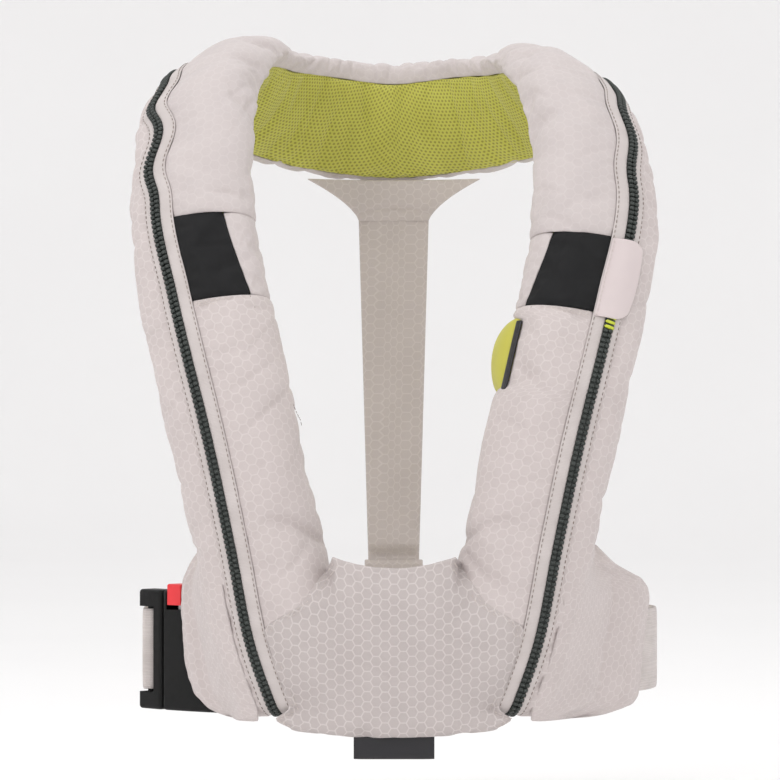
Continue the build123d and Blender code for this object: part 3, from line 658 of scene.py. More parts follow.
def walk(points, ups, pitch, start=0.0):
    """Spots every pitch mm along a line of points."""
    spots, wanted, gone = [], start, 0.0
    for a, b, up in zip(points, points[1:], ups):
        length = (b - a).length
        while length and gone + length >= wanted:
            share = (wanted - gone) / length
            spots.append((a.lerp(b, share), b - a, up))
            wanted += pitch
        gone += length
    return spots


def seam_line(first, last, u_at, rise=0.5, step=0.04):
    """Points and outward directions along the band, at a distance across it that may vary."""
    places = spaced(first, last, step)
    return [skin(p, u_at(p), rise) for p in places], [outward(p, u_at(p)) for p in places]


# ---------------------------------------------------------------- the padded band
HALF_CHAIN, INNER_TAPE, OUTER_TAPE = 3.0, 8.0, 4.5
TAPE_IN, TAPE_OUT = -HALF_CHAIN - INNER_TAPE, HALF_CHAIN + OUTER_TAPE
SILLS, HEADS, SHOULDER = {"right": 4.83, "left": 4.67}, {"right": 5.84, "left": 5.62}, 8
OPENING = (left(4.5), left(3.45))
MOUTH_EDGE = -35  # u of the cover's edge at the side opening
OUTER_SEAM = radians(202)  # where the gusset meets the lining, round the outer edge
COVER_WALL, ROW_STEP = 1.3, 2.6


def neck_seam(frame):
    """Where the cover meets the lining, round the neck edge: the collar's cover comes further over."""
    near = min(frame.place, END - frame.place)
    share = clamp((near - 7.0) / 1.2)
    return radians(-22 - 24 * share * share * (3 - 2 * share))


def lining_end(frame):
    return 2 * pi + neck_seam(frame)


def window_edge(frame):
    """The window's seam on the neck side, which slants in towards the zip as it rises."""
    if frame.place < NAPE:
        return theta_at(-31 + 7 * (frame.place - SILLS["right"]))
    return theta_at(-36 + 7 * (left(frame.place) - SILLS["left"]))


def zip_angle(offset):
    return lambda frame: theta_at(frame.zip + offset)


def fixed_angle(angle):
    return lambda frame: angle


def gather(place, theta):
    """Folds of the band, in mm: faint on the chest, deep where it bends over the shoulder and the nape."""
    near = min(place, END - place)
    side = 0 if place < NAPE else 40
    bend = exp(-(((near - 7.4) / 1.1) ** 2))
    collar = 1 / (1 + exp(-(near - 8.4) * 3))
    spread = noise.noise(Vector((near * 1.6 + side, theta * 1.1, 3.0)))
    tight = noise.noise(Vector((near * 4.6 + side, theta * 0.5 + near * 0.7, 11.0)))
    crease = -max(0.0, 1 - abs(noise.noise(Vector((near * 3.1 + side, theta * 0.45, 21.0)))) * 7)
    slant = -max(0.0, 1 - abs(noise.noise(Vector((near * 2.0 + theta * 0.9 + side, theta * 0.3, 31.0)))) * 8)
    over = (-cos(theta) * BAND_HALF + 17) / -21  # from 0 to 1 towards the neck edge
    pinch = 0.0
    if sin(theta) > -0.2 and over > -0.6:
        pinch = -2.6 * exp(-(((near - 2.19 + 0.24 * max(over, 0) ** 2) / 0.055) ** 2))
        pinch *= min(1, (over + 0.6) / 0.7)
    return spread * (0.7 + 0.9 * bend) + tight * (0.25 + 1.5 * bend + 0.8 * collar) + (
        crease * (0.25 + 1.4 * bend + 1.1 * collar) + slant * (0.3 + 0.8 * bend) + pinch
    )


def tuck(distance, depth=1.5, width=3.2):
    """How far a seam draws the fabric in, at a distance from it."""
    return -depth * exp(-((distance / width) ** 2))


def band_piece(name, first, last, low, high, columns, look, folds, swell, tucks, nodes, fill=0.5, blown=True):
    """A padded panel of the band between two places and between two angles, which are functions of the
    frame. tucks are how strongly its seams draw in: low side, high side, first end, last end."""
    stops = spaced(first, last, 0.2) if abs(last - first) >= 1 else [first, last]
    length = sum((skin(a, 0) - skin(b, 0)).length for a, b in zip(stops, stops[1:]))
    count = max(6, round(length / ROW_STEP))
    rows, centres = [], []
    for i in range(count + 1):
        place = first + (last - first) * i / count
        frame = Frame(place)
        start, end = low(frame), high(frame)
        row = []
        for j in range(columns):
            share = j / (columns - 1)
            theta = start + (end - start) * share
            girth = abs(end - start) * BAND_HALF * 0.8
            side = (share * girth, (1 - share) * girth, i / count * length, (1 - i / count) * length)
            rise = folds * gather(place, theta) * min(1.0, min(side) / 5)
            rise += swell * (1 - exp(-min(side[0], side[1]) / 9))
            rise += sum(tuck(d) * k for d, k in zip(side, tucks))
            row.append(section(frame, theta, rise))
        rows.append(row)
        centres.append(frame.point(0, WIDEST))
    obj = grid_object(name, rows, lambda i: centres[i])
    if blown:
        inflate(obj, border(len(rows), columns), cap=3.5)
    thicken(obj, COVER_WALL)
    return finish_piece(obj, look, nodes=nodes)


def opened(frame):
    """The left cover's neck side: round the edge, but drawn back from the mouth of the side opening."""
    low, high = OPENING
    place = frame.place
    share = clamp((place - low + 0.1) / 0.22) * clamp((high + 0.1 - place) / 0.22)
    share = share * share * (3 - 2 * share)
    return neck_seam(frame) + (theta_at(MOUTH_EDGE) - neck_seam(frame)) * share


COVER_ZIP = TAPE_IN + 1.2  # the covers run a little way under the tapes
GUSSET_ZIP = TAPE_OUT - 1.2
for side, on in (("right", right), ("left", left)):
    sill, head = SILLS[side], HEADS[side]
    ends = sorted((on(0), on(sill)))
    band_piece(f"lower_cover_{side}_padded", *ends, opened if side == "left" else neck_seam,
               zip_angle(COVER_ZIP), 34, "shell", 0.8, 1.0, (0.6, 0.5, 1, 0.6), [f"lower_cover_{side}"])
    ends = sorted((on(sill - 0.015), on(head + 0.015)))
    band_piece(f"chest_window_{side}_cloth", *ends, window_edge, zip_angle(COVER_ZIP), 30, "window",
               0.5, 0.2, (0.5, 0.4, 0.5, 0.5), [f"chest_window_{side}"])
    band_piece(f"window_border_{side}_padded", *ends, neck_seam, window_edge, 22, "upper",
               0.6, 0.4, (0.6, 0.6, 0.5, 0.5), [f"chest_window_{side}"])
    ends = sorted((on(head), on(SHOULDER)))
    band_piece(f"upper_cover_{side}_padded", *ends, neck_seam, zip_angle(COVER_ZIP), 34, "upper",
               1.0, 1.0, (0.6, 0.5, 0.6, 0.6), [f"upper_cover_{side}"])
    ends = sorted((on(0), on(SHOULDER)))
    band_piece(f"side_gusset_{side}_padded", *ends, zip_angle(GUSSET_ZIP), fixed_angle(OUTER_SEAM), 26,
               "shell", 0.8, 0.8, (0.5, 0.6, 1, 0.6), [f"side_gusset_{side}"])
    band_piece(f"back_lining_{side}_mesh", *ends, fixed_angle(OUTER_SEAM), lining_end, 30,
               "mesh", 0.5, 0.3, (0.6, 0.6, 0.6, 0.6), [f"back_lining_{side}"], fill=0.3, blown=False)

collar = (SHOULDER, left(SHOULDER))
band_piece("collar_cover_padded", *collar, neck_seam, zip_angle(COVER_ZIP), 40, "upper", 1.0, 1.0,
           (0.6, 0.5, 0.6, 0.6), ["collar_cover"])
band_piece("collar_gusset_padded", *collar, zip_angle(GUSSET_ZIP), fixed_angle(OUTER_SEAM), 26,
           "upper", 1.0, 0.8, (0.5, 0.6, 0.6, 0.6), ["collar_gusset"])
collar_mesh = band_piece("collar_lining_mesh", *collar, fixed_angle(OUTER_SEAM), lining_end, 34, "mesh",
                         0.9, 0.8, (0.7, 0.7, 0.6, 0.6), ["collar_lining"], fill=0.4)
flat_place = collar_mesh.data.attributes["cloth"].data
half_length = max(spot.vector.y for spot in flat_place) / 2
for spot in flat_place:
    # The mesh is cut on the slant and joined at the nape, so its rows meet there in a chevron.
    along = abs(spot.vector.y - half_length)
    spot.vector.x += 18 * (1 - exp(-along / 30))


def bladder_cover():
    """The folded bladder: a soft tube inside the band, pushed out through the side opening."""
    rows, centres = [], []
    for place in spaced(0.35, END - 0.35, 0.09):
        frame = Frame(place)
        low, high = OPENING
        bulge = exp(-(((place - (low + high) / 2) / ((high - low) * 0.36)) ** 4))
        row = []
        for k in range(28):
            theta = 2 * pi * k / 28
            towards_neck = max(0.0, cos(theta - radians(18))) ** 2
            rise = -7.0 + 4.6 * bulge * towards_neck + 0.5 * gather(place, theta)
            row.append(section(frame, theta, rise))
        rows.append(row)
        centres.append(frame.point(0, WIDEST))
    obj = grid_object("folded_bladder", rows, lambda i: centres[i], loop=True)
    modifier(obj, "SUBSURF", levels=1, render_levels=1)
    bake(obj)
    return finish_piece(obj, "bladder", "jacket", ["bladder"])


bladder_cover()


# ---------------------------------------------------------------- burst zip
def tape_strip(name, low, high, nodes, look="tape", rise=0.35):
    """Zip tape: a thin woven strip that lies on the seam and follows the zip."""
    rows, centres = [], []
    for place in spaced(0.02, END - 0.02, 0.05):
        frame = Frame(place)
        row = []
        for share in spaced(0, 1, 0.2):
            edge = 4 * share * (1 - share)
            ruffle = 0.25 * noise.noise(Vector((place * 9, share, 5.0)))
            theta = theta_at(frame.zip + low + (high - low) * share)
            row.append(section(frame, theta, rise + 0.2 * edge + ruffle))
        rows.append(row)
        centres.append(frame.point(0, WIDEST))
    obj = grid_object(name, rows, lambda i: centres[i])
    return finish_piece(thicken(obj, 0.9), look, nodes=nodes)


tape_strip("zip_tape_inner_woven", TAPE_IN, -HALF_CHAIN + 0.3, ["zip_tape_inner"])
tape_strip("zip_tape_outer_woven", HALF_CHAIN - 0.3, TAPE_OUT, ["zip_tape_outer"])
tape_strip("zip_chain_bed", -HALF_CHAIN, HALF_CHAIN, ["zip_chain"], "tooth", -0.1)

TOOTH_PITCH = 3.15
teeth = []
for row, offset in ((0, -1.45), (1, 1.45)):
    line, ups = seam_line(0.05, END - 0.05, lambda p: Frame(p).zip + offset, 0.9)
    teeth += walk(line, ups, TOOTH_PITCH, row * TOOTH_PITCH / 2)
repeat("zip_chain_teeth", teeth, (3.1, 2.3, 2.5), "tooth", nodes=["zip_chain"])

stitches = []
for offset in (TAPE_IN + 1.2, TAPE_OUT - 1.1):
    line, ups = seam_line(0.05, END - 0.05, lambda p: Frame(p).zip + offset, 0.65)
    stitches += walk(line, ups, 3.4)
repeat("zip_tape_stitches", stitches, (0.45, 2.1, 0.4), "stitch")

edge_spots = []
edge_runs = (
    (right, 3.1, SILLS["right"] - 0.03, 29, SILLS["right"]),
    (left, 3.1, 3.4, 31, SILLS["left"]),
    (left, 4.52, SILLS["left"] - 0.03, 31, SILLS["left"]),
)
for on, start, stop, from_middle, sill in edge_runs:
    slope = (37.6 - from_middle) / 1.6
    line, ups = seam_line(
        on(start), on(stop), lambda p: -from_middle - (sill - min(p, END - p)) * slope, 0.95
    )
    edge_spots += walk(line, ups, 2.9)
repeat("lobe_edge_stitches", edge_spots, (0.45, 2.4, 0.35), "stitch")

hem_spots = []
for on, sill in ((right, SILLS["right"]), (left, SILLS["left"])):
    for down in (0.055, 0.1):
        frame_here = Frame(on(sill - down))
        us = spaced(-27, frame_here.zip + TAPE_IN - 2, 1.6)
        line = [skin(on(sill - down + (0.018 if i % 2 else -0.018)), u, 1.3) for i, u in enumerate(us)]
        hem_spots += walk(line, [frame_here.facing] * len(line), 1.5)
repeat("window_hem_zigzag", hem_spots, (0.4, 1.4, 0.35), "pale_stitch")


# ---------------------------------------------------------------- front panel
def place_at(height, u, n):
    """Place on the right lobe where the point (u, n) is at a height, found by halving the range."""
    low, high = 0.0, 5.0
    for _ in range(20):
        middle = (low + high) / 2
        if Frame(middle).point(u, n).z < height:
            low = middle
        else:
            high = middle
    return low


def crest(height):
    """Y of the chest lobes' most forward fabric at a height."""
    place = place_at(height, 0, 42)
    return min(skin(max(place, HEM_ROUND), u).y for u in (0, 5, 10))


def between(table, value):
    """Value of a table of (key, value) rows, in order, read between its rows."""
    for (a, x), (b, y) in zip(table, table[1:]):
        if value <= b or (b, y) == table[-1]:
            share = clamp((value - a) / (b - a))
            return x + (y - x) * share


PANEL_TOP, PANEL_FOOT, PANEL_CORNER, PANEL_BOW = -279, -381, -321, 5
CRESTS = [(z, crest(z)) for z in range(-374, -270, 6)]


def under_tape(level):
    """Half width of the panel where its side is sewn under the inner zip tape."""
    place = max(place_at(max(level, -372), 4, 40), 0.1)
    return -skin(place, Frame(place).zip + TAPE_IN + 0.8).x


PANEL_SIDES = [(-387, 58), (-381, 62), (-378.5, 68), (-375, 72)]
PANEL_SIDES += [(z, under_tape(z)) for z in (-371, -360, -350, -340, -330, PANEL_CORNER)]
PANEL_SIDES += [(-306, 54), (-281, 37)]
covers = []
for side in ("right", "left"):
    cover = bpy.data.objects[f"lower_cover_{side}_padded"].data
    covers.append(BVHTree.FromPolygons([v.co for v in cover.vertices], [p.vertices for p in cover.polygons]))


def lobe_front(x, z):
    """Y of the chest lobes' fabric straight behind a point, or None between and below them."""
    hits = [tree.ray_cast(Vector((x, -300, z)) * MM, Vector((0, 1, 0)), 0.3)[0] for tree in covers]
    return min((hit.y / MM for hit in hits if hit), default=None)


def panel_point(across, up):
    """Point on the front panel: across from -1 to 1, up from 0 at the foot to 1 at the top."""
    sag = 1 - across * across
    level = PANEL_FOOT + (PANEL_TOP - PANEL_FOOT) * up
    half = between(PANEL_SIDES, level)
    x = across * half
    z = level - sag * (4.5 * (1 - up) + 6.5 * up)
    y = between(CRESTS, level) - 2.0 - PANEL_BOW * sag
    y += 1.6 * sag * exp(-(((up - 1) / 0.12) ** 2))
    edge = (1 - abs(across)) * half
    broad = noise.noise(Vector((x * 0.035, z * 0.05, 2.0)))
    puckers = broad * 1.5 + noise.noise(Vector((x * 0.09, z * 0.11, 4.0))) * 0.5
    pull = -max(0.0, 1 - abs(noise.noise(Vector((x * 0.02 + z * 0.03, z * 0.012, 8.0)))) * 9) * 0.8
    y -= (puckers + pull) * min(1.0, edge / 9)
    behind = lobe_front(x, z)
    if behind is None:
        return Vector((x, y + 1.5 * exp(-((edge / 5.0) ** 2)), z))
    near = exp(-((edge / 6.5) ** 2))
    return Vector((x, min(y * (1 - near) + (behind - 0.4) * near, behind - 0.4), z))


def front_panel():
    """The padded panel between the lobes, with its foot turned under."""
    rows = []
    turned_under = 5
    for k in range(turned_under, 0, -1):
        angle = pi * 0.62 * k / turned_under
        under = Vector((0, 8 * (1 - cos(angle)) + 2 * k, 3.6 * (1 - cos(angle)) - 3 * sin(angle)))
        rows.append([panel_point(a, 0) + under for a in spaced(-1, 1, 0.04)])
    rows += [[panel_point(a, up) for a in spaced(-1, 1, 0.04)] for up in spaced(0, 1, 0.026)]
    obj = grid_object("front_panel_padded", rows, lambda i: Vector((0, -60, -330)))
    inflate(obj, border(len(rows), len(rows[0])), pressure=3.0, cap=3.0, slack=0.02)
    thicken(obj, 2.0)
    return finish_piece(obj, "panel", nodes=["front_panel"])


front_panel()

seam_spots = []
for side in (-1, 1):
    for inset in (2.2, 4.6):
        line = []
        for up in spaced(0.02, 0.98, 0.01):
            half = between(PANEL_SIDES, PANEL_FOOT + 106 * up)
            line.append(panel_point(side * (1 - inset / half), up) + Vector((0, -0.5, 0)))
        seam_spots += walk(line, [Vector((0, -1, 0))] * len(line), 3.4)
repeat("front_panel_stitches", seam_spots, (0.4, 2.1, 0.35), "pale_stitch")


# ---------------------------------------------------------------- strap sections
def swept(name, path, across, wall, look, body="jacket", nodes=(), sway=0.0, columns=8):
    """A flat strap: path is its middle line, across the direction and half width at each point, and its
    thickness wall. Its faces have a slight crown and its edges are round."""
    rows = []
    for i, point in enumerate(path):
        before, after = path[max(i - 1, 0)], path[min(i + 1, len(path) - 1)]
        along = (after - before).normalized()
        half = across(i) if callable(across) else across
        out = half.normalized().cross(along).normalized()
        ring = []
        for k in range(2 * columns):
            turn = 2 * pi * (k + 0.5) / (2 * columns)
            c, s = cos(turn), sin(turn)
            side = copysign(abs(c) ** 0.35, c)
            height = copysign(abs(s) ** 0.55, s) * wall / 2
            wave = sway * noise.noise(point * 0.05 + Vector((side, 0, 7)))
            ring.append(point + half * side + out * (height + wave))
        rows.append(ring)
    obj = grid_object(name, rows, lambda i: path[i], loop=True)
    modifier(obj, "SUBSURF", levels=1, render_levels=1)
    bake(obj)
    return finish_piece(obj, look, body, nodes)


def smooth_line(points, count):
    """A Catmull-Rom line through points, cut into even steps."""
    fine = []
    for i in range(len(points) - 1):
        a, b, c, d = (points[min(max(i + k, 0), len(points) - 1)] for k in (-1, 0, 1, 2))
        for k in range(12):
            fine.append(curve(a, b, c, d, k / 12))
    fine.append(points[-1])
    total = sum((b - a).length for a, b in zip(fine, fine[1:]))
    spots = walk(fine, fine, total / count * 0.99999)
    return [spot[0] for spot in spots] + [points[-1]]


# ---------------------------------------------------------------- waist belt
BELT_HALF_WIDTH, BELT_HALF_DEPTH, BELT_SHIFT, BELT_Z, WEBBING, WEBBING_HALF = 161, 100, 4, -341.5, 2.0, 25
SOFT_GAP, BUCKLE_INSET, BUCKLE_DEGREE, FRAME_LENGTH, BAR_RADIUS, HALF_THICK = 0.4, 9, 200, 21, 2.6, 7
KEEPER_HALF, SWING_GAP, HOUSING_LENGTH = 19, 1.3, 54
UPRIGHT = Vector((0, 0, 1))


def belt_point(degree, out=0.0, z=BELT_Z):
    angle = radians(degree)
    depth = BELT_HALF_DEPTH if sin(angle) > 0 else CHEST_DEPTH
    return Vector((BELT_SHIFT + (BELT_HALF_WIDTH + out) * cos(angle), (depth + out) * sin(angle), z))


def belt_degree(x, front):
    angle = degrees(acos((x - BELT_SHIFT) / BELT_HALF_WIDTH))
    return -angle if front else angle


pivot = belt_point(belt_degree(-KEEPER_HALF - SWING_GAP, False), -WEBBING / 2)
parting = belt_point(BUCKLE_DEGREE, -BUCKLE_INSET)
buckle_radius = (parting - pivot).length
parting_angle = atan2(parting.y - pivot.y, parting.x - pivot.x)


def on_buckle(s, r):
    """Point s mm from the buckle's parting line into the housing and r mm outside its middle."""
    angle = parting_angle + s / buckle_radius
    return pivot + Vector((cos(angle), sin(angle), 0)) * (buckle_radius + r)


def at_belt(point, back=0.0):
    return Vector((point.x, point.y + back, BELT_Z))


turn_middle = BAR_RADIUS + SOFT_GAP + WEBBING / 2
bar_place = -FRAME_LENGTH + BAR_RADIUS + 2.5
sewn = [at_belt(Frame(left(0.2)).point(u, -4 * SOFT_GAP), 1) for u in (BAND_HALF - 20, BAND_HALF)]
route = sewn + [belt_point(a, -WEBBING / 2) for a in spaced(belt_degree(112, True), BUCKLE_DEGREE - 23, 9)]
route += [on_buckle(bar_place - 3, turn_middle)]
for turn in (90, 45, 0, -45, -90):
    route.append(on_buckle(bar_place + turn_middle * cos(radians(turn)), turn_middle * sin(radians(turn))))
route += [on_buckle(bar_place - 3, -turn_middle)]
route += [belt_point(BUCKLE_DEGREE - at, -WEBBING * 1.5 - SOFT_GAP) for at in (29, 32, 35)]
belt = swept("waist_webbing", smooth_line(route, 260), UPRIGHT * WEBBING_HALF, WEBBING, "webbing", None,
             ["belt_left", "belt_right"], columns=16)
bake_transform(belt)

slot_middle = HOUSING_LENGTH - 8
tie = [on_buckle(slot_middle + 1, HALF_THICK - 4), on_buckle(slot_middle + 3, HALF_THICK + 4.5)]
tie += [at_belt(Frame(0.2).point(u, -4 * SOFT_GAP), 1) for u in (BAND_HALF - 12, BAND_HALF - 30)]
swept("housing_tie_webbing", smooth_line(tie, 36), UPRIGHT * WEBBING_HALF, WEBBING, "webbing",
      nodes=["housing_loop"], columns=16)

# ---------------------------------------------------------------- wings
LOWEST_ROOT = -370  # below it the wing's root keeps the line it has at the hem
BELT_REACH = (-155, 163)  # x between which the wings' backs lie on the belt
RIGHT_TIPS = [  # z and x of the wing's tip, from its foot up
    (-379, -100), (-374, -112), (-367, -121), (-356, -125), (-344, -127), (-318, -129), (-306, -129.5),
    (-297, -128), (-287, -123), (-274, -114),
]
LEFT_TIPS = [
    (-379, 128), (-374, 146), (-369, 150), (-361, 151.5), (-345, 153), (-325, 156), (-312, 158),
    (-303, 157.5), (-296, 151), (-287, 135), (-274, 122),
]


def wing(side, tips):
    """A padded wing: its front lies from the outer zip tape over the gusset to the belt."""
    low, high = tips[0][0], tips[-1][0]
    flip = 1 if side == "right" else -1
    rows, middles = [], []
    for z in spaced(low, high, 2.4):
        up = (z - low) / (high - low)
        foot, head = max(0.0, 1 - up / 0.08), max(0.0, 1 - (1 - up) / 0.12)
        closed = sqrt(max(0.02, 1 - foot**2)) * sqrt(max(0.02, 1 - head**2))
        sunk = 3.0 * exp(-(((1 - up) / 0.13) ** 2))
        tip = between(tips, z)
        front = []
        for angle, rise in ((0, 0.9), (0.5, 1.5), (1, 1.8)):
            level = max(z, LOWEST_ROOT)
            place = max(place_at(level, 20 + 14 * angle, 36 - 14 * angle), 0.12)
            at = Frame(place)
            start = theta_at(at.zip + TAPE_OUT - 0.8)
            point = section(at, start + (radians(152) - start) * angle, rise - sunk)
            front.append(Vector((flip * point.x, point.y, z)))
        root = front[-1]
        for share, out in ((0.5, 7.5), (0.85, 6.0), (1.0, 3.6)):
            x = root.x + (tip - root.x) * share
            on_belt = belt_point(belt_degree(x, True), 1 + out * closed)
            front.append(Vector((x, on_belt.y, z)))
        front = smooth_line(front, 20)
        inner = Frame(max(place_at(max(z, -368), BAND_HALF, 8), 0.12)).point(BAND_HALF - 1.5, 5)
        back = []
        for k in range(20, -1, -1):
            x = flip * inner.x + (tip - flip * inner.x) * k / 20
            x = min(max(x, BELT_REACH[0]), BELT_REACH[1])
            on_belt = belt_point(belt_degree(x, True), 0.9)
            share = min(1, k / 9)
            back.append(Vector((x, inner.y + (on_belt.y - inner.y) * share, z)))
        wrinkled = []
        for k, point in enumerate(front):
            crease = noise.noise(Vector((point.x * 0.06, z * 0.07, 15.0))) * 1.1 - max(
                0.0, 1 - abs(noise.noise(Vector((point.x * 0.03, z * 0.05, 25.0)))) * 8) * 0.9
            wrinkled.append(point + Vector((0, -crease * sin(pi * k / 20), 0)))
        rows.append(wrinkled + back)
        middles.append(wrinkled[10].lerp(back[10], 0.5))
    obj = grid_object(f"wing_{side}_padded", rows, lambda i: middles[i], loop=True)
    count = len(rows[0])
    held = [i * count + j for i in range(len(rows)) for j in (*range(8), 20, 21, count - 1)]
    inflate(obj, held, pressure=3.0, cap=2.0)
    modifier(obj, "SUBSURF", levels=1, render_levels=1)
    bake(obj)
    return finish_piece(obj, "shell", nodes=[f"wing_{side}"])


wing("right", RIGHT_TIPS)
wing("left", LEFT_TIPS)

# ---------------------------------------------------------------- back
nape_low = Frame(NAPE).point(BAND_HALF, 0)
YOKE_FOOT, KEEPER_TOP, KEEPER_FOOT = nape_low.z - 23, -291.5, -375.5
back_y = BELT_HALF_DEPTH
strap_turns = ((nape_low.y + 7.6, YOKE_FOOT + 6), (96, -150), (98.2, -230), (back_y - 0.2, -297))
strap_line = smooth_line([Vector((0, y, z)) for y, z in strap_turns], 90)
swept("back_strap_cloth", strap_line, lambda i: Vector((-23 + 6.5 * i / 90, 0, 0)), 1.8, "shell",
      nodes=["back_strap"], sway=0.9, columns=14)


def yoke():
    """The strap's head: cloth gathered from the collar's lower edge into the strap."""
    rows = []
    for down in spaced(0, 1, 0.05):
        z = nape_low.z + 3 - (nape_low.z + 3 - YOKE_FOOT) * down
        half = 57 - 34 * (1 - (1 - down) ** 1.5)
        row = []
        for a in spaced(-1, 1, 0.05):
            bow = (13 - 11 * down) * a * a
            fold_line = 1.6 * exp(-(((down - 0.68 - 0.16 * a * a) / 0.07) ** 2))
            y = nape_low.y + 0.5 + 7.6 * down - bow + fold_line - 0.8 * sin(pi * down)
            row.append(Vector((a * half, y, z)))
        rows.append(row)
    obj = grid_object("back_yoke_cloth", rows, lambda i: Vector((0, 0, -60)))
    thicken(obj, 1.6)
    return finish_piece(obj, "shell", nodes=["back_yoke"])


yoke()


def keeper():
    """The sleeve at the strap's foot that the belt runs through, sewn flat above and below it."""
    rows = []
    middle_z, half_z = (KEEPER_TOP + KEEPER_FOOT) / 2, (KEEPER_TOP - KEEPER_FOOT) / 2
    for x in spaced(-KEEPER_HALF, KEEPER_HALF, 1.6):
        ring = []
        for k in range(64):
            turn = 2 * pi * k / 64
            s, c = sin(turn), cos(turn)
            z = middle_z + half_z * copysign(abs(s) ** 0.6, s)
            gap = 1 / (1 + exp(-(WEBBING_HALF + 4 - abs(z - BELT_Z)) * 0.8))
            y = back_y - 1.2 + c / max(abs(c), 0.35) * (1.5 + 2.1 * gap) * min(1, abs(c) * 3)
            ring.append(Vector((x, y + 0.3 * noise.noise(Vector((x * 0.1, z * 0.1, 1))), z)))
        rows.append(ring)
    obj = grid_object("belt_keeper_sleeve", rows, lambda i: Vector((0, back_y - 1.2, middle_z)), loop=True)
    bm = bmesh.new()
    bm.from_mesh(obj.data)
    bmesh.ops.delete(bm, geom=[f for f in bm.faces if len(f.verts) > 4], context="FACES_ONLY")
    bm.to_mesh(obj.data)
    bm.free()
    thicken(obj, 1.2)
    return finish_piece(obj, "shell", nodes=["belt_keeper"])


keeper()

tacks = []
for level in (-283.5, -285.5, -287.0):
    xs = spaced(-15.5, 15.5, 1.1)
    line = [Vector((x, back_y - 2.9, level + (1.1 if i % 2 else -1.1))) for i, x in enumerate(xs)]
    tacks += walk(line, [Vector((0, -1, 0))] * len(line), 1.3)
for level in (-294.5, -371.5):
    line = [Vector((x, back_y - 4.0, level)) for x in spaced(-17.5, 17.5, 1)]
    tacks += walk(line, [Vector((0, -1, 0))] * len(line), 3.2)
repeat("strap_foot_stitches", tacks, (0.4, 1.5, 0.35), "pale_stitch")

# ---------------------------------------------------------------- tab under the panel
TAB_HALF, TAB_FOOT, TAB_TOP = 24, -400, -372
tab_y = (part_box("crotch_strap_keeper")[0][1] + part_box("crotch_strap_keeper")[1][1]) / 2 / MM
tab_line = [Vector((0, tab_y - 0.55, z)) for z in spaced(TAB_TOP, TAB_FOOT + 1.5, 2)]
tab_line += [Vector((0, tab_y, TAB_FOOT + 0.5))]
tab_line += [Vector((0, tab_y + 0.55, z)) for z in spaced(TAB_FOOT + 1.5, TAB_TOP, 2)]
swept("lower_tab_ribbon", tab_line, Vector((TAB_HALF, 0, 0)), 0.9, "satin",
      nodes=["crotch_strap_keeper"], columns=12)

# ---------------------------------------------------------------- side opening, flap and marker
def opening_lip():
    """Smooth coated cloth that faces the side opening, drawn over the bladder."""
    rows, centres = [], []
    low, high = OPENING
    for place in spaced(low - 0.04, high + 0.04, 0.03):
        frame = Frame(place)
        middle = sin(pi * clamp((place - low) / (high - low)))
        row = []
        for t in spaced(-44, 40, 3):
            past = radians(t) - theta_at(MOUTH_EDGE)
            bulge = 9.0 * middle**0.6 * exp(-(((t + 8) / 30) ** 2)) * clamp(-past / radians(9))
            row.append(section(frame, radians(t), -1.8 + bulge - 2.5 * clamp(past / radians(8))))
        rows.append(row)
        centres.append(frame.point(0, WIDEST))
    obj = grid_object("side_opening_facing", rows, lambda i: centres[i])
    return finish_piece(thicken(obj, 1.0), "bladder", nodes=["side_opening_lip"])


opening_lip()


def mouth_binding():
    """Black ribbon folded over the cover's cut edge, along the side opening."""
    low, high = OPENING
    line, tops = [], []
    for place in spaced(low + 0.1, high - 0.02, 0.02):
        at = Frame(place)
        line.append(section(at, theta_at(MOUTH_EDGE) - radians(2), 0.4))
        tops.append((section(at, theta_at(MOUTH_EDGE) + radians(12), 0.5) - line[-1]).normalized() * 2.4)
    swept("side_opening_binding", line, lambda i: tops[min(i, len(tops) - 1)], 1.6, "satin", columns=6)


mouth_binding()


def label_flap():
    """The square flap sewn to the inner tape, which lies free over the zip's teeth."""
    rows, centres = [], []
    first, last = left(5.6), left(4.58)
    for down in spaced(0, 1, 0.05):
        row = []
        for a in spaced(0, 1, 0.06):
            corner = 0.07 * max(0.0, (a - 0.6) / 0.4) ** 2
            at = first + (last - first) * (down * (1 - corner * 2) + corner * (1 if down < 0.5 else 0.3))
            frame = Frame(at)
            u = frame.zip + TAPE_IN + 0.5 + a * (19.5 + 2.0 * sin(pi * down))
            lift = 1.5 + 1.1 * sin(pi * a) + 0.8 * a * a + 0.3 * noise.noise(Vector((a * 2, down * 3, 6)))
            row.append(section(frame, theta_at(min(u, 37.5)), lift))
        rows.append(row)
        centres.append(frame.point(0, WIDEST))
    middle = len(rows) // 2
    width = sum((b - a).length for a, b in zip(rows[middle], rows[middle][1:]))
    length = sum((b[8] - a[8]).length for a, b in zip(rows, rows[1:]))
    area = sum(
        (rows[i][j + 1] - rows[i][j]).cross(rows[i + 1][j] - rows[i][j]).length
        for i in range(len(rows) - 1)
        for j in range(len(rows[0]) - 1)
    )
    obj = grid_object("label_flap_cloth", rows, lambda i: centres[i])
    thicken(obj, 0.8)
    finish_piece(obj, "flap", "flap", ["label_flap"])
    area = min(area, width * length)
    hem = [rows[i][1] + (rows[i][1] - centres[i]).normalized() * 0.6 for i in range(len(rows))]
    ups = [(rows[i][1] - centres[i]).normalized() for i in range(len(rows))]
    repeat("label_flap_stitches", walk(hem, ups, 3.0), (0.4, 1.9, 0.35), "pale_stitch", "flap")


label_flap()

line, ups = seam_line(left(4.6), left(4.44), lambda p: Frame(p).zip, 1.4)
repeat("burst_marker_teeth", walk(line, ups, TOOTH_PITCH), (6.6, 2.0, 2.2), "marker", nodes=["burst_marker"])


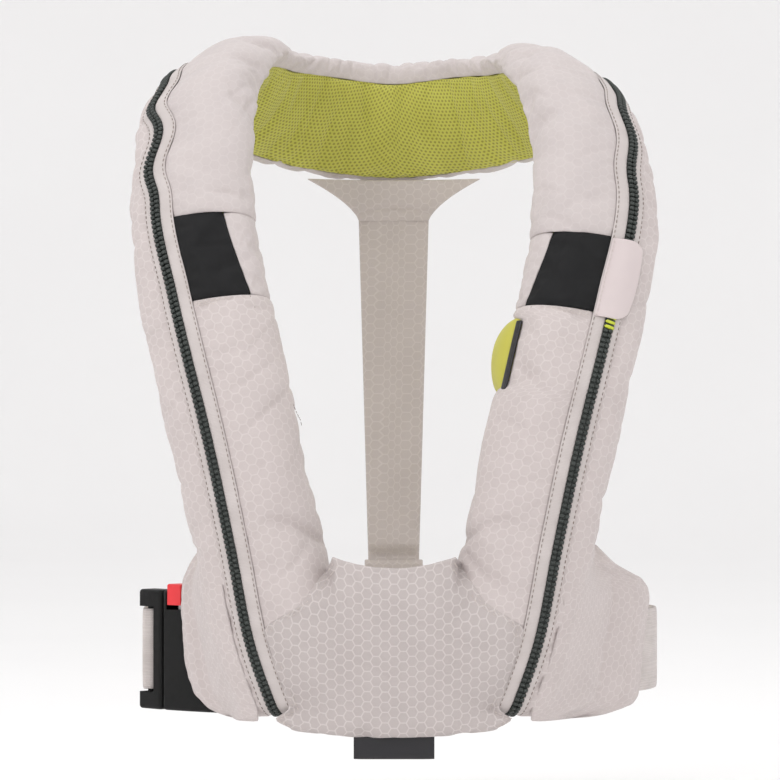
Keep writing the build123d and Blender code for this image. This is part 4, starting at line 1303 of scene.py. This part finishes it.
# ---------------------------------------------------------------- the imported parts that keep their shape
HARD = {
    "buckle": ("buckle_housing", "buckle_frame"),
    "button": ("release_button",),
    "spring": ("button_spring",),
    "tooth": ("zip_slider", "zip_pull"),
    "inflator": ("inflator_body", "bobbin"),
    "rubber": ("manifold_washer", "side_opening_lip", "oral_tube", "oral_valve_cap"),
    "button_cap": ("inflator_cap", "firing_lever"),
    "brass": ("piercing_pin",),
    "cylinder": ("gas_cylinder",),
    "whistle": ("whistle",),
}
LOOK["button_cap"] = moulded("yellow_nylon_moulded", "#E0B83A", "#CFA72B", 0.45, 0.45)
for look, names in HARD.items():
    for name in names:
        node = frame["nodes"][name]
        for place in node.material_slots:
            place.material = LOOK[look]
        if not node.material_slots:
            node.data.materials.append(LOOK[look])


# ---------------------------------------------------------------- studio
def studio_paper():
    """Matt background paper, pale and even, with the faint tooth of its fibres."""
    material, tree, surface = start_material("pale_background_paper", Roughness=0.9)
    place = add(tree, "ShaderNodeTexCoord").outputs["Object"]
    tone = mottled(tree, place, 0.5, "#FBFAFA", "#F7F6F6")
    tree.links.new(tone, surface.inputs["Base Color"])
    return material


FLOOR, REACH, CURVE, RIM, SPOKES = -450, 5600, 1500, 3200, 96
profile = [(0.5, FLOOR), (300, FLOOR), (1500, FLOOR)] + [
    (REACH - CURVE + CURVE * sin(a), FLOOR + CURVE - CURVE * cos(a)) for a in spaced(0, pi / 2, pi / 24)
] + [(REACH, RIM)]
turns = [2 * pi * k / SPOKES for k in range(SPOKES)]
rings = [[Vector((r * cos(a), r * sin(a), z)) for a in turns] for r, z in profile]
paper = new_object(
    "studio_cyclorama",
    [p for ring in rings for p in ring],
    [
        tuple(j * SPOKES + m % SPOKES for j, m in ((i, k), (i, k + 1), (i + 1, k + 1), (i + 1, k)))
        for i in range(len(rings) - 1)
        for k in range(SPOKES)
    ],
)
paper.data.materials.append(studio_paper())

world = bpy.data.worlds.new("studio")
bpy.context.scene.world = world
world.use_nodes = True
world.node_tree.nodes["Background"].inputs["Color"].default_value = linear("#FFFFFF")
world.node_tree.nodes["Background"].inputs["Strength"].default_value = 0.95


def softbox(name, at, target, size, power):
    lamp = bpy.data.lights.new(name, "AREA")
    lamp.shape, lamp.size, lamp.size_y, lamp.energy = "RECTANGLE", size[0] * MM, size[1] * MM, power
    obj = bpy.data.objects.new(name, lamp)
    bpy.context.scene.collection.objects.link(obj)
    obj.location = Vector(at) * MM
    obj.rotation_euler = (Vector(target) - Vector(at)).to_track_quat("-Z", "Y").to_euler()


softbox("key_left", (-1300, -1500, 900), (0, 0, -180), (900, 1300), 12)
softbox("fill_right", (1500, -1300, 200), (0, 0, -200), (900, 1300), 4.5)
softbox("top", (0, -100, 1500), (0, 0, -150), (1500, 1000), 6)

EYE, LENS, SENSOR = (-2.4, -2510, -181), 184.6, 36
camera = bpy.data.objects.new("camera", bpy.data.cameras.new("camera"))
camera.data.lens, camera.data.sensor_width = LENS, SENSOR
camera.location = Vector(EYE) * MM
camera.rotation_euler = (pi / 2, 0, 0)
bpy.context.scene.collection.objects.link(camera)
bpy.context.scene.camera = camera
bpy.context.scene.view_settings.view_transform = "Standard"
